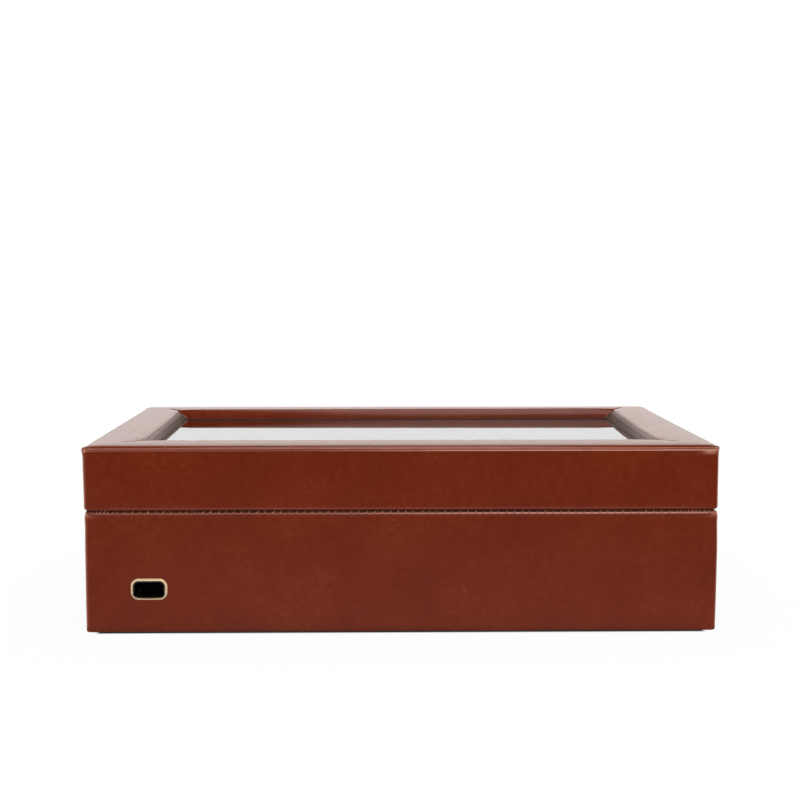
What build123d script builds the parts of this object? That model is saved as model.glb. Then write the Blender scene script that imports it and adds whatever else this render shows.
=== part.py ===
from build123d import *
import math
import os

# Watch box: leather over board, a framed glass lid on a sewn leather hinge, a tray of
# pillows in two rows, and a drawer under the tray.
# Millimetres, +Z up, origin in the middle of the underside. The front, with the drawer
# and the lock, faces -Y. The back, with the hinge and the cable port, faces +Y.

# Overall size
box_length = 330.0
box_depth = 216.0
box_height = 98.0
seam_height = 64.0
seam_gap = 0.6
corner_radius = 3.0
lid_edge_radius = 2.2
seam_edge_radius = 1.6
base_edge_radius = 1.5

# Leather, boards and base
leather = 1.0
wall = 9.0
hem = 12.0
pad_thickness = 1.2
pad_inset = 5.0
hem_clearance = 0.3
base_board_thickness = 4.0
deck_height = 31.0
deck_thickness = 3.5

# Tray
tray_floor_thickness = 1.2
tray_lining_thickness = 1.5
tray_lining_drop = 0.5
side_channel = 4.0
divider_thickness = 3.0
divider_drop = 2.0
columns = 6
rows = 2

# Pillows
pillow_side_gap = 0.9
pillow_end_gap = 5.5
pillow_height = 40.0
pillow_roundness = 17.0
pillow_edge_radius = 3.0
pillow_seat_gap = 0.3

# Lid
padding_thickness = 1.2
lid_board_thickness = 2.2
bar_width = 26.2
bevel_run = 4.6
window_corner_radius = 1.5
window_hem = 14.0
glass_thickness = 2.0
glass_edge_gap = 4.0
retainer_thickness = 2.0
retainer_setback = 1.0
lid_lining_thickness = 1.2
lid_lining_rise = 0.7
lid_lining_stay_gap = 14.0

# Hinge and stays
hinge_inset = 0.8
hinge_web_depth = 1.7
hinge_web_setback = 0.4
hinge_end_gap = 5.0
lid_opening = 95.0
stay_radius = 24.0
stay_angle = 15.0
stay_width = 7.0
stay_thickness = 1.2
stay_pin_radius = 1.5
stay_slot_clearance = 0.15
stay_slot_overrun = 0.3
stay_side_clearance = 0.3
stay_collar = 1.1
stay_head_radius = 2.6
stay_head_thickness = 0.8
stay_screw_radius = 1.4
stay_screw_clearance = 0.05
stay_fixing_depth = 5.0

# Drawer
drawer_travel = 120.0
drawer_side_gap = 0.8
drawer_face_gap = 0.5
drawer_running_gap = 0.3
drawer_front_thickness = 8.0
drawer_edge_radius = 1.5
drawer_side_thickness = 5.0
drawer_back_thickness = 3.0
drawer_bottom_thickness = 3.0
drawer_lining_thickness = 1.0
drawer_lining_drop = 1.0
drawer_back_headroom = 1.0
cable_space = 32.0
cable_notch_width = 18.0
cable_notch_depth = 10.0
drawer_stop_length = 60.0
drawer_stop_width = 3.0
drawer_stop_height = 3.5
runner_thickness = 1.0
runner_width = 12.0
runner_height = 14.0
opening_turn_in = 11.0

# Drawer knob
knob_base_radius = 6.0
knob_base_thickness = 1.2
knob_neck_radius = 3.4
knob_neck_length = 5.0
knob_head_radius = 7.5
knob_length = 14.0
knob_screw_radius = 1.9
knob_screw_clearance = 0.1
knob_screw_reach = 7.0
knob_screw_head_radius = 3.6
knob_screw_head_thickness = 1.6

# Lock
lock_drop = 14.0
lock_barrel_radius = 6.0
lock_plug_radius = 4.0
lock_plug_clearance = 0.05
lock_plug_proud = 0.4
keyway_width = 1.2
keyway_height = 5.0
keyway_depth = 4.0
escutcheon_radius = 8.5
escutcheon_thickness = 1.2
lock_pocket_depth = 3.0
lock_pocket_margin = 1.5
cam_thickness = 1.5
cam_width = 7.0
cam_hub_radius = 4.5
cam_stub_radius = 2.0
cam_engagement = 3.5
cam_setback = 0.8
strike_margin = 5.0
strike_slot_margin = 0.5
strike_pocket_height = 4.2
strike_overhang = 1.1

# Cable port
port_from_side = 33.0
port_height = 23.0
port_hole_length = 16.7
port_hole_height = 9.2
port_hole_radius = 3.3
port_ring_width = 1.5
port_ring_height = 1.0
port_sleeve_wall = 1.0
port_sleeve_proud = 0.4

# Planes of the covering and of the boards under it
half_x = box_length / 2
half_y = box_depth / 2
core_x = half_x - leather
core_y = half_y - leather
inner_x = core_x - wall
inner_y = core_y - wall
core_corner = corner_radius - leather
core_seam_edge = seam_edge_radius - leather
cover_bottom = pad_thickness
core_bottom = cover_bottom + leather
case_top = seam_height - seam_gap / 2
case_core_top = case_top - leather
lid_bottom = seam_height + seam_gap / 2
lid_core_bottom = lid_bottom + leather
lid_core_top = box_height - leather
lid_board_top = lid_core_top - padding_thickness
lid_board_bottom = lid_board_top - lid_board_thickness

# Levels and walls of the tray
floor_top = core_bottom + base_board_thickness
deck_top = deck_height + deck_thickness
tray_floor = deck_top + tray_floor_thickness
channel_x = inner_x - side_channel
tray_x = channel_x - tray_lining_thickness
tray_y = inner_y - tray_lining_thickness
tray_lining_top = case_top - tray_lining_drop
divider_top = case_top - divider_drop
divider_middle = (tray_floor + divider_top) / 2
cell_x = (2 * tray_x - (columns - 1) * divider_thickness) / columns
cell_y = (2 * tray_y - (rows - 1) * divider_thickness) / rows
column_pitch = cell_x + divider_thickness
row_pitch = cell_y + divider_thickness

# Window, glass and what holds it. The frame slopes down to the glass all round.
window_x = half_x - bar_width - bevel_run
window_y = half_y - bar_width - bevel_run
glass_top = lid_board_bottom - leather
bevel_height = box_height - glass_top
bevel_setback = leather * math.hypot(bevel_run, bevel_height) / bevel_height
glass_bottom = glass_top - glass_thickness
retainer_bottom = glass_bottom - retainer_thickness

# Hinge line and stays. The guide pin on the case and the pivot on the lid stand at one
# radius from the hinge line, so the arm turns by exactly half of the lid's angle.
hinge_y = half_y - hinge_inset
stay_y = hinge_y - stay_radius * math.cos(math.radians(stay_angle))
stay_rise = stay_radius * math.sin(math.radians(stay_angle))
pin_z = seam_height - stay_rise
pivot_z = seam_height + stay_rise
closed_reach = 2 * stay_rise
open_reach = 2 * stay_radius * math.sin(math.radians(stay_angle + lid_opening / 2))
stay_outer_x = inner_x - stay_collar - stay_side_clearance
stay_inner_x = stay_outer_x - stay_thickness
stay_head_x = stay_inner_x - stay_side_clearance

# Drawer opening and drawer
opening_x = inner_x - leather
opening_bottom = floor_top + leather
opening_top = deck_height - leather
drawer_x = opening_x - drawer_side_gap
face_bottom = opening_bottom + drawer_face_gap
face_top = opening_top - drawer_face_gap
face_middle = (face_bottom + face_top) / 2
drawer_front_back = -core_y + drawer_front_thickness
drawer_inner_x = drawer_x - drawer_side_thickness
drawer_rear = inner_y - cable_space
drawer_inner_rear = drawer_rear - drawer_back_thickness
drawer_underside = floor_top + max(leather, runner_thickness) + drawer_running_gap
drawer_floor = drawer_underside + drawer_bottom_thickness
drawer_side_top = deck_height - drawer_stop_height - drawer_face_gap
drawer_back_top = deck_height - drawer_back_headroom
drawer_lining_top = drawer_side_top - drawer_lining_drop
stop_rear = drawer_inner_rear - drawer_travel - drawer_running_gap

# Lock and cable port
lock_z = seam_height - lock_drop
cam_length = lock_drop + cam_engagement
cam_reach = math.hypot(cam_length, cam_width / 2)
lock_pocket_front = -inner_y - lock_pocket_depth
lock_pocket_left = -cam_width / 2 - lock_pocket_margin
lock_pocket_right = cam_reach + lock_pocket_margin
cam_rear = -inner_y - cam_setback
cam_front = cam_rear - cam_thickness
escutcheon_front = -half_y - escutcheon_thickness
strike_slot_left = lock_pocket_left
strike_slot_right = cam_length
port_x = half_x - port_from_side

os.makedirs("parts", exist_ok=True)


def upright(y):
    """A plane across the box at the depth y. It faces the front, and shows X and Z."""
    return Plane(origin=(0, y, 0), x_dir=(1, 0, 0), z_dir=(0, -1, 0))


def span(low_1, high_1, low_2, high_2, mode=Mode.ADD):
    """A rectangle between two corners, in the sketch that is being drawn."""
    with Locations(((low_1 + high_1) / 2, (low_2 + high_2) / 2)):
        Rectangle(high_1 - low_1, high_2 - low_2, mode=mode)


def rounded_block(length, depth, bottom, top, corner, top_edge, bottom_edge):
    """A block in the middle of the box with round corners and round edges."""
    with BuildPart() as block:
        with BuildSketch(Plane.XY.offset(bottom)):
            RectangleRounded(length, depth, corner)
        extrude(amount=top - bottom)
        fillet(block.faces().sort_by(Axis.Z)[-1].edges(), top_edge)
        fillet(block.faces().sort_by(Axis.Z)[0].edges(), bottom_edge)
    return block.part


def window_cutter(setback):
    """What is cut away for the window: it widens from the glass up to the top of the lid."""
    width = 2 * (window_x + setback)
    depth = 2 * (window_y + setback)
    corner = window_corner_radius + setback
    with BuildPart() as cutter:
        with BuildSketch(Plane.XY.offset(glass_top)):
            RectangleRounded(width, depth, corner)
        with BuildSketch(Plane.XY.offset(box_height)):
            RectangleRounded(width + 2 * bevel_run, depth + 2 * bevel_run, corner)
        loft()
    return cutter.part


# The shapes of the boarding under the leather. Each board is cut from them, so that
# the leather lies on the boards all over.
case_core = rounded_block(
    2 * core_x, 2 * core_y, core_bottom, case_core_top,
    core_corner, core_seam_edge, base_edge_radius - leather,
)
lid_core = rounded_block(
    2 * core_x, 2 * core_y, lid_core_bottom, lid_core_top,
    core_corner, lid_edge_radius - leather, core_seam_edge,
)
core_window = window_cutter(bevel_setback)
lid_core_framed = lid_core - core_window

# The outsides of the leather
case_skin = rounded_block(
    box_length, box_depth, cover_bottom, case_top,
    corner_radius, seam_edge_radius, base_edge_radius,
)
lid_skin = rounded_block(
    box_length, box_depth, lid_bottom, box_height,
    corner_radius, lid_edge_radius, seam_edge_radius,
)
skin_window = window_cutter(0)


# Base

with BuildPart() as base_pad:
    with BuildSketch():
        RectangleRounded(box_length - 2 * pad_inset, box_depth - 2 * pad_inset, corner_radius)
    extrude(amount=pad_thickness)
    with BuildSketch(Plane.XY.offset(pad_thickness)):
        Rectangle(
            box_length - 2 * (hem + hem_clearance),
            box_depth - 2 * (hem + hem_clearance),
        )
    extrude(amount=leather)
base_pad.part.label = "base_pad"
export_step(base_pad.part, "parts/base_pad.step")

with BuildPart() as base_board:
    with BuildSketch(Plane.XY.offset(core_bottom)):
        span(-inner_x, inner_x, -core_y, inner_y)
    extrude(amount=base_board_thickness)
    add(case_core, mode=Mode.INTERSECT)
base_board.part.label = "base_board"
export_step(base_board.part, "parts/base_board.step")


# Case walls

def case_side_wall(side):
    """A side board of the case, with the hole of the stay's guide pin. Side is 1 or -1."""
    with BuildPart() as board:
        with BuildSketch(Plane.XY.offset(core_bottom)):
            with Locations((side * (inner_x + core_x) / 2, 0)):
                Rectangle(wall, 2 * core_y)
        extrude(amount=case_core_top - core_bottom)
        add(case_core, mode=Mode.INTERSECT)
        with BuildSketch(Plane.YZ.offset(side * inner_x)):
            with Locations((stay_y, pin_z)):
                Circle(stay_pin_radius)
        extrude(amount=side * stay_fixing_depth, mode=Mode.SUBTRACT)
    return board


side_wall_left = case_side_wall(-1)
side_wall_left.part.label = "side_wall_left"
export_step(side_wall_left.part, "parts/side_wall_left.step")

side_wall_right = case_side_wall(1)
side_wall_right.part.label = "side_wall_right"
export_step(side_wall_right.part, "parts/side_wall_right.step")

with BuildPart() as back_wall:
    with BuildSketch(Plane.XY.offset(core_bottom)):
        span(-inner_x, inner_x, inner_y, core_y)
    extrude(amount=case_core_top - core_bottom)
    add(case_core, mode=Mode.INTERSECT)
    with BuildSketch(upright(inner_y)):
        with Locations((port_x, port_height)):
            RectangleRounded(port_hole_length, port_hole_height, port_hole_radius)
    extrude(amount=-wall, mode=Mode.SUBTRACT)
back_wall.part.label = "back_wall"
export_step(back_wall.part, "parts/back_wall.step")

with BuildPart() as front_rail:
    with BuildSketch(Plane.XY.offset(deck_height)):
        span(-inner_x, inner_x, -core_y, -inner_y)
    extrude(amount=case_core_top - deck_height)
    add(case_core, mode=Mode.INTERSECT)
    # The pocket in which the cam turns, open to the rim
    with BuildSketch(upright(-inner_y)):
        span(
            lock_pocket_left, lock_pocket_right,
            lock_z - lock_barrel_radius, case_core_top,
        )
    extrude(amount=lock_pocket_depth, mode=Mode.SUBTRACT)
    with BuildSketch(upright(-inner_y)):
        with Locations((0, lock_z)):
            Circle(lock_barrel_radius)
    extrude(amount=wall, mode=Mode.SUBTRACT)
front_rail.part.label = "front_rail"
export_step(front_rail.part, "parts/front_rail.step")


# Leather of the case: wrapped round the walls, turned over the rim, under the base and
# into the drawer's opening

with BuildPart() as case_cover:
    add(case_skin)
    add(case_core, mode=Mode.SUBTRACT)
    with BuildSketch(Plane.XY.offset(case_core_top)):
        Rectangle(2 * inner_x, 2 * inner_y)
        span(lock_pocket_left, lock_pocket_right, lock_pocket_front, -inner_y)
    extrude(amount=leather, mode=Mode.SUBTRACT)
    with BuildSketch(Plane.XY.offset(cover_bottom)):
        Rectangle(box_length - 2 * hem, box_depth - 2 * hem)
    extrude(amount=leather, mode=Mode.SUBTRACT)
    with BuildSketch(upright(-core_y)):
        span(-opening_x, opening_x, opening_bottom, opening_top)
        with Locations((0, lock_z)):
            Circle(lock_barrel_radius)
    extrude(amount=leather, mode=Mode.SUBTRACT)
    with BuildSketch(upright(-core_y)):
        span(-inner_x, inner_x, floor_top, deck_height)
        span(-opening_x, opening_x, opening_bottom, opening_top, mode=Mode.SUBTRACT)
    extrude(amount=-opening_turn_in)
    with BuildSketch(upright(core_y)):
        with Locations((port_x, port_height)):
            RectangleRounded(port_hole_length, port_hole_height, port_hole_radius)
    extrude(amount=-leather, mode=Mode.SUBTRACT)
case_cover.part.label = "case_cover"
export_step(case_cover.part, "parts/case_cover.step")


# Tray: deck, linings and the crossed dividers

with BuildPart() as deck_board:
    with BuildSketch(Plane.XY.offset(deck_height)):
        Rectangle(2 * inner_x, 2 * inner_y)
        # The closed stays hang through these two corner notches
        span(channel_x, inner_x, drawer_rear, inner_y, mode=Mode.SUBTRACT)
        span(-inner_x, -channel_x, drawer_rear, inner_y, mode=Mode.SUBTRACT)
    extrude(amount=deck_thickness)
deck_board.part.label = "deck_board"
export_step(deck_board.part, "parts/deck_board.step")

with BuildPart() as tray_floor_lining:
    with BuildSketch(Plane.XY.offset(deck_top)):
        Rectangle(2 * tray_x, 2 * tray_y)
    extrude(amount=tray_floor_thickness)
tray_floor_lining.part.label = "tray_floor_lining"
export_step(tray_floor_lining.part, "parts/tray_floor_lining.step")

with BuildPart() as tray_wall_lining:
    with BuildSketch(Plane.XY.offset(deck_top)):
        for side in (-1, 1):
            with Locations((side * (tray_x + channel_x) / 2, 0)):
                Rectangle(tray_lining_thickness, 2 * tray_y)
            with Locations((0, side * (tray_y + inner_y) / 2)):
                Rectangle(2 * tray_x, tray_lining_thickness)
    extrude(amount=tray_lining_top - deck_top)
tray_wall_lining.part.label = "tray_wall_lining"
export_step(tray_wall_lining.part, "parts/tray_wall_lining.step")

with BuildPart() as divider_long:
    with BuildSketch(upright(-divider_thickness / 2)):
        span(-tray_x, tray_x, tray_floor, divider_top)
        with Locations((0, (divider_middle + divider_top) / 2)):
            with GridLocations(column_pitch, 0, columns - 1, 1):
                Rectangle(divider_thickness, divider_top - divider_middle, mode=Mode.SUBTRACT)
    extrude(amount=-divider_thickness)
divider_long.part.label = "divider_long"
export_step(divider_long.part, "parts/divider_long.step")

with BuildPart() as cross_dividers:
    for column in range(columns - 1):
        divider_x = (column - (columns - 2) / 2) * column_pitch
        with BuildSketch(Plane.YZ.offset(divider_x - divider_thickness / 2)):
            span(-tray_y, tray_y, tray_floor, divider_top)
            span(
                -divider_thickness / 2, divider_thickness / 2,
                tray_floor, divider_middle, mode=Mode.SUBTRACT,
            )
        extrude(amount=divider_thickness)
cross_dividers.part.label = "cross_dividers"
export_step(cross_dividers.part, "parts/cross_dividers.step")


# Pillows, numbered along the front row and then along the back row

def pillow_at(x, y):
    """One watch pillow, round in the plane that a strap goes round."""
    with BuildPart() as pillow:
        with BuildSketch(Plane.YZ.offset(x - cell_x / 2 + pillow_side_gap)):
            with Locations((y, tray_floor + pillow_seat_gap + pillow_height / 2)):
                RectangleRounded(cell_y - 2 * pillow_end_gap, pillow_height, pillow_roundness)
        extrude(amount=cell_x - 2 * pillow_side_gap)
        fillet(pillow.faces().filter_by(Axis.X).edges(), pillow_edge_radius)
    return pillow


for row in range(rows):
    for column in range(columns):
        pillow_name = f"watch_pillow_{row * columns + column + 1}"
        watch_pillow = pillow_at(
            (column - (columns - 1) / 2) * column_pitch,
            (row - (rows - 1) / 2) * row_pitch,
        )
        watch_pillow.part.label = pillow_name
        export_step(watch_pillow.part, f"parts/{pillow_name}.step")


# Lid walls, top frame and padding

with BuildPart() as lid_wall_front:
    with BuildSketch(Plane.XY.offset(lid_core_bottom)):
        span(-inner_x, inner_x, -core_y, -inner_y)
    extrude(amount=lid_board_bottom - lid_core_bottom)
    add(lid_core, mode=Mode.INTERSECT)
    with BuildSketch(Plane.XY.offset(lid_core_bottom)):
        span(strike_slot_left, strike_slot_right, lock_pocket_front, -inner_y)
    extrude(amount=strike_pocket_height, mode=Mode.SUBTRACT)
lid_wall_front.part.label = "lid_wall_front"
export_step(lid_wall_front.part, "parts/lid_wall_front.step")

with BuildPart() as lid_wall_back:
    with BuildSketch(Plane.XY.offset(lid_core_bottom)):
        span(-inner_x, inner_x, inner_y, core_y)
    extrude(amount=lid_board_bottom - lid_core_bottom)
    add(lid_core, mode=Mode.INTERSECT)
lid_wall_back.part.label = "lid_wall_back"
export_step(lid_wall_back.part, "parts/lid_wall_back.step")


def lid_side_wall(side):
    """A side board of the lid, with the hole of the stay's pivot screw."""
    with BuildPart() as board:
        with BuildSketch(Plane.XY.offset(lid_core_bottom)):
            with Locations((side * (inner_x + core_x) / 2, 0)):
                Rectangle(wall, 2 * core_y)
        extrude(amount=lid_board_bottom - lid_core_bottom)
        add(lid_core, mode=Mode.INTERSECT)
        with BuildSketch(Plane.YZ.offset(side * inner_x)):
            with Locations((stay_y, pivot_z)):
                Circle(stay_screw_radius)
        extrude(amount=side * stay_fixing_depth, mode=Mode.SUBTRACT)
    return board


lid_wall_left = lid_side_wall(-1)
lid_wall_left.part.label = "lid_wall_left"
export_step(lid_wall_left.part, "parts/lid_wall_left.step")

lid_wall_right = lid_side_wall(1)
lid_wall_right.part.label = "lid_wall_right"
export_step(lid_wall_right.part, "parts/lid_wall_right.step")

with BuildPart() as lid_top_frame:
    with BuildSketch(Plane.XY.offset(lid_board_bottom)):
        Rectangle(2 * core_x, 2 * core_y)
    extrude(amount=lid_board_thickness)
    add(lid_core, mode=Mode.INTERSECT)
    add(core_window, mode=Mode.SUBTRACT)
lid_top_frame.part.label = "lid_top_frame"
export_step(lid_top_frame.part, "parts/lid_top_frame.step")

with BuildPart() as lid_padding:
    with BuildSketch(Plane.XY.offset(lid_board_top)):
        Rectangle(2 * core_x, 2 * core_y)
    extrude(amount=padding_thickness)
    add(lid_core, mode=Mode.INTERSECT)
    add(core_window, mode=Mode.SUBTRACT)
lid_padding.part.label = "lid_padding"
export_step(lid_padding.part, "parts/lid_padding.step")


# Leather of the lid: over the walls and the padding, down the window's edge and under
# the frame, and turned in over the lower rim

with BuildPart() as lid_cover:
    add(lid_skin)
    add(lid_core_framed, mode=Mode.SUBTRACT)
    with BuildSketch(Plane.XY.offset(lid_bottom)):
        Rectangle(2 * inner_x, 2 * inner_y)
    extrude(amount=glass_top - lid_bottom, mode=Mode.SUBTRACT)
    with BuildSketch(Plane.XY.offset(lid_bottom)):
        span(
            strike_slot_left - strike_margin, strike_slot_right + strike_margin,
            lock_pocket_front - strike_slot_margin, -inner_y,
        )
    extrude(amount=leather, mode=Mode.SUBTRACT)
    with BuildSketch(Plane.XY.offset(glass_top)):
        Rectangle(2 * (window_x + window_hem), 2 * (window_y + window_hem))
    extrude(amount=leather)
    add(skin_window, mode=Mode.SUBTRACT)
lid_cover.part.label = "lid_cover"
export_step(lid_cover.part, "parts/lid_cover.step")


# Glass, the frame that holds it, and the lid's lining

with BuildPart() as glass_pane:
    with BuildSketch(Plane.XY.offset(glass_bottom)):
        Rectangle(2 * (inner_x - glass_edge_gap), 2 * (inner_y - glass_edge_gap))
    extrude(amount=glass_thickness)
glass_pane.part.label = "glass_pane"
export_step(glass_pane.part, "parts/glass_pane.step")

with BuildPart() as glass_retainer:
    with BuildSketch(Plane.XY.offset(retainer_bottom)):
        Rectangle(2 * inner_x, 2 * inner_y)
        Rectangle(
            2 * (window_x + retainer_setback), 2 * (window_y + retainer_setback),
            mode=Mode.SUBTRACT,
        )
    extrude(amount=retainer_thickness)
glass_retainer.part.label = "glass_retainer"
export_step(glass_retainer.part, "parts/glass_retainer.step")

with BuildPart() as lid_lining:
    with BuildSketch(Plane.XY.offset(lid_core_bottom + lid_lining_rise)):
        for side in (-1, 1):
            with Locations((0, side * (inner_y - lid_lining_thickness / 2))):
                Rectangle(2 * inner_x, lid_lining_thickness)
        front_end = lid_lining_thickness - inner_y
        rear_end = stay_y - lid_lining_stay_gap
        span(inner_x - lid_lining_thickness, inner_x, front_end, rear_end)
        span(-inner_x, lid_lining_thickness - inner_x, front_end, rear_end)
    extrude(amount=retainer_bottom - lid_core_bottom - lid_lining_rise)
lid_lining.part.label = "lid_lining"
export_step(lid_lining.part, "parts/lid_lining.step")


# Hinge: the strip of the leather that crosses the seam at the back and bends

with BuildPart() as hinge_web:
    web_rear = half_y - hinge_web_setback
    with BuildSketch(Plane.XY.offset(case_top)):
        span(hinge_end_gap - half_x, half_x - hinge_end_gap, web_rear - hinge_web_depth, web_rear)
    extrude(amount=seam_gap)
hinge_web.part.label = "hinge_web"
export_step(hinge_web.part, "parts/hinge_web.step")


# Stays: a slotted arm on each side, a pivot screw in the lid, a guide pin in the case

def stay_arm(side):
    """A stay as it hangs when the lid is closed, straight down from its pivot."""
    slot_top = closed_reach - stay_slot_overrun
    slot_end = open_reach + stay_slot_overrun
    with BuildPart() as arm:
        with BuildSketch(Plane.YZ.offset(side * stay_inner_x)):
            with Locations((stay_y, pivot_z - slot_end / 2)):
                SlotCenterToCenter(slot_end, stay_width, rotation=90)
            with Locations((stay_y, pivot_z)):
                Circle(stay_screw_radius + stay_screw_clearance, mode=Mode.SUBTRACT)
            with Locations((stay_y, pivot_z - (slot_top + slot_end) / 2)):
                SlotCenterToCenter(
                    slot_end - slot_top, 2 * (stay_pin_radius + stay_slot_clearance),
                    rotation=90, mode=Mode.SUBTRACT,
                )
        extrude(amount=side * stay_thickness)
    return arm


stay_arm_left = stay_arm(-1)
stay_arm_left.part.label = "stay_arm_left"
export_step(stay_arm_left.part, "parts/stay_arm_left.step")

stay_arm_right = stay_arm(1)
stay_arm_right.part.label = "stay_arm_right"
export_step(stay_arm_right.part, "parts/stay_arm_right.step")


def stay_fixings(z, shank_radius):
    """A pair of headed pins across the side channels, with a collar against the wall."""
    with BuildPart() as pins:
        for side in (-1, 1):
            with BuildSketch(Plane.YZ.offset(side * stay_head_x)):
                with Locations((stay_y, z)):
                    Circle(shank_radius)
            extrude(amount=side * (inner_x + stay_fixing_depth - stay_head_x))
            with BuildSketch(Plane.YZ.offset(side * stay_head_x)):
                with Locations((stay_y, z)):
                    Circle(stay_head_radius)
            extrude(amount=-side * stay_head_thickness)
            with BuildSketch(Plane.YZ.offset(side * inner_x)):
                with Locations((stay_y, z)):
                    Circle(stay_head_radius)
            extrude(amount=-side * stay_collar)
    return pins


stay_pivot_screws = stay_fixings(pivot_z, stay_screw_radius)
stay_pivot_screws.part.label = "stay_pivot_screws"
export_step(stay_pivot_screws.part, "parts/stay_pivot_screws.step")

stay_guide_pins = stay_fixings(pin_z, stay_pin_radius)
stay_guide_pins.part.label = "stay_guide_pins"
export_step(stay_guide_pins.part, "parts/stay_guide_pins.step")


# Drawer front and its leather

def drawer_face_block(inset, front):
    """The drawer front's shape, inset from the leather's outer edges."""
    with BuildPart() as block:
        with BuildSketch(upright(drawer_front_back)):
            span(inset - drawer_x, drawer_x - inset, face_bottom + inset, face_top - inset)
        extrude(amount=drawer_front_back - front)
        fillet(block.faces().sort_by(Axis.Y)[0].edges(), drawer_edge_radius - inset)
    return block.part


drawer_face_core = drawer_face_block(leather, -core_y)
drawer_face_skin = drawer_face_block(0, -half_y)

with BuildPart() as drawer_front:
    add(drawer_face_core)
    with BuildSketch(upright(drawer_front_back)):
        with Locations((0, face_middle)):
            Circle(knob_screw_radius + knob_screw_clearance)
    extrude(amount=drawer_front_thickness, mode=Mode.SUBTRACT)
drawer_front.part.label = "drawer_front"
export_step(drawer_front.part, "parts/drawer_front.step")

with BuildPart() as drawer_front_cover:
    add(drawer_face_skin)
    add(drawer_face_core, mode=Mode.SUBTRACT)
    with BuildSketch(upright(-core_y)):
        with Locations((0, face_middle)):
            Circle(knob_screw_radius + knob_screw_clearance)
    extrude(amount=leather, mode=Mode.SUBTRACT)
drawer_front_cover.part.label = "drawer_front_cover"
export_step(drawer_front_cover.part, "parts/drawer_front_cover.step")


# Drawer box

def drawer_side(side):
    """A side board of the drawer."""
    with BuildPart() as board:
        with BuildSketch(Plane.XY.offset(drawer_underside)):
            middle_y = (drawer_front_back + drawer_rear) / 2
            with Locations((side * (drawer_inner_x + drawer_x) / 2, middle_y)):
                Rectangle(drawer_side_thickness, drawer_rear - drawer_front_back)
        extrude(amount=drawer_side_top - drawer_underside)
    return board


drawer_side_left = drawer_side(-1)
drawer_side_left.part.label = "drawer_side_left"
export_step(drawer_side_left.part, "parts/drawer_side_left.step")

drawer_side_right = drawer_side(1)
drawer_side_right.part.label = "drawer_side_right"
export_step(drawer_side_right.part, "parts/drawer_side_right.step")

with BuildPart() as drawer_back:
    with BuildSketch(upright(drawer_inner_rear)):
        span(-drawer_inner_x, drawer_inner_x, drawer_underside, drawer_back_top)
        span(
            port_x - cable_notch_width / 2, port_x + cable_notch_width / 2,
            drawer_back_top - cable_notch_depth, drawer_back_top, mode=Mode.SUBTRACT,
        )
    extrude(amount=-drawer_back_thickness)
drawer_back.part.label = "drawer_back"
export_step(drawer_back.part, "parts/drawer_back.step")

with BuildPart() as drawer_bottom:
    with BuildSketch(Plane.XY.offset(drawer_underside)):
        span(-drawer_inner_x, drawer_inner_x, drawer_front_back, drawer_inner_rear)
    extrude(amount=drawer_bottom_thickness)
drawer_bottom.part.label = "drawer_bottom"
export_step(drawer_bottom.part, "parts/drawer_bottom.step")

with BuildPart() as drawer_lining:
    with BuildSketch(Plane.XY.offset(drawer_floor)):
        span(-drawer_inner_x, drawer_inner_x, drawer_front_back, drawer_inner_rear)
    extrude(amount=drawer_lining_top - drawer_floor)
    with BuildSketch(Plane.XY.offset(drawer_floor + drawer_lining_thickness)):
        span(
            drawer_lining_thickness - drawer_inner_x,
            drawer_inner_x - drawer_lining_thickness,
            drawer_front_back + drawer_lining_thickness,
            drawer_inner_rear - drawer_lining_thickness,
        )
    extrude(amount=drawer_lining_top - drawer_floor, mode=Mode.SUBTRACT)
    with BuildSketch(upright(drawer_inner_rear)):
        span(
            port_x - cable_notch_width / 2, port_x + cable_notch_width / 2,
            drawer_back_top - cable_notch_depth, drawer_back_top,
        )
    extrude(amount=drawer_lining_thickness, mode=Mode.SUBTRACT)
    with BuildSketch(upright(drawer_front_back)):
        with Locations((0, face_middle)):
            Circle(knob_screw_radius + knob_screw_clearance)
    extrude(amount=-drawer_lining_thickness, mode=Mode.SUBTRACT)
drawer_lining.part.label = "drawer_lining"
export_step(drawer_lining.part, "parts/drawer_lining.step")


# Drawer knob and its screw

knob_axis = Axis((0, 0, face_middle), (0, 1, 0))

with BuildPart() as drawer_knob:
    with BuildSketch(Plane.XY.offset(face_middle)):
        with BuildLine():
            neck_start = -half_y - knob_base_thickness
            head_start = neck_start - knob_neck_length
            tip = -half_y - knob_length
            Polyline(
                (0, tip), (0, -half_y), (knob_base_radius, -half_y), (knob_base_radius, neck_start),
            )
            ThreePointArc(
                (knob_base_radius, neck_start),
                (knob_neck_radius, neck_start - knob_neck_length / 2),
                (knob_neck_radius, head_start),
            )
            Spline(
                (knob_neck_radius, head_start),
                (knob_head_radius, (head_start + tip) / 2),
                (0, tip),
                tangents=((1, 0), (-1, 0)),
            )
        make_face()
    revolve(axis=knob_axis)
    with BuildSketch(upright(-half_y)):
        with Locations((0, face_middle)):
            Circle(knob_screw_radius + knob_screw_clearance)
    extrude(amount=knob_screw_reach + knob_base_thickness, mode=Mode.SUBTRACT)
drawer_knob.part.label = "drawer_knob"
export_step(drawer_knob.part, "parts/drawer_knob.step")

with BuildPart() as drawer_knob_screw:
    screw_seat = drawer_front_back + drawer_lining_thickness
    with BuildSketch(upright(screw_seat)):
        with Locations((0, face_middle)):
            Circle(knob_screw_radius)
    extrude(amount=screw_seat + half_y + knob_screw_reach)
    with BuildSketch(upright(screw_seat)):
        with Locations((0, face_middle)):
            Circle(knob_screw_head_radius)
    extrude(amount=-knob_screw_head_thickness)
drawer_knob_screw.part.label = "drawer_knob_screw"
export_step(drawer_knob_screw.part, "parts/drawer_knob_screw.step")


# Drawer runners and stop

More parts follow.
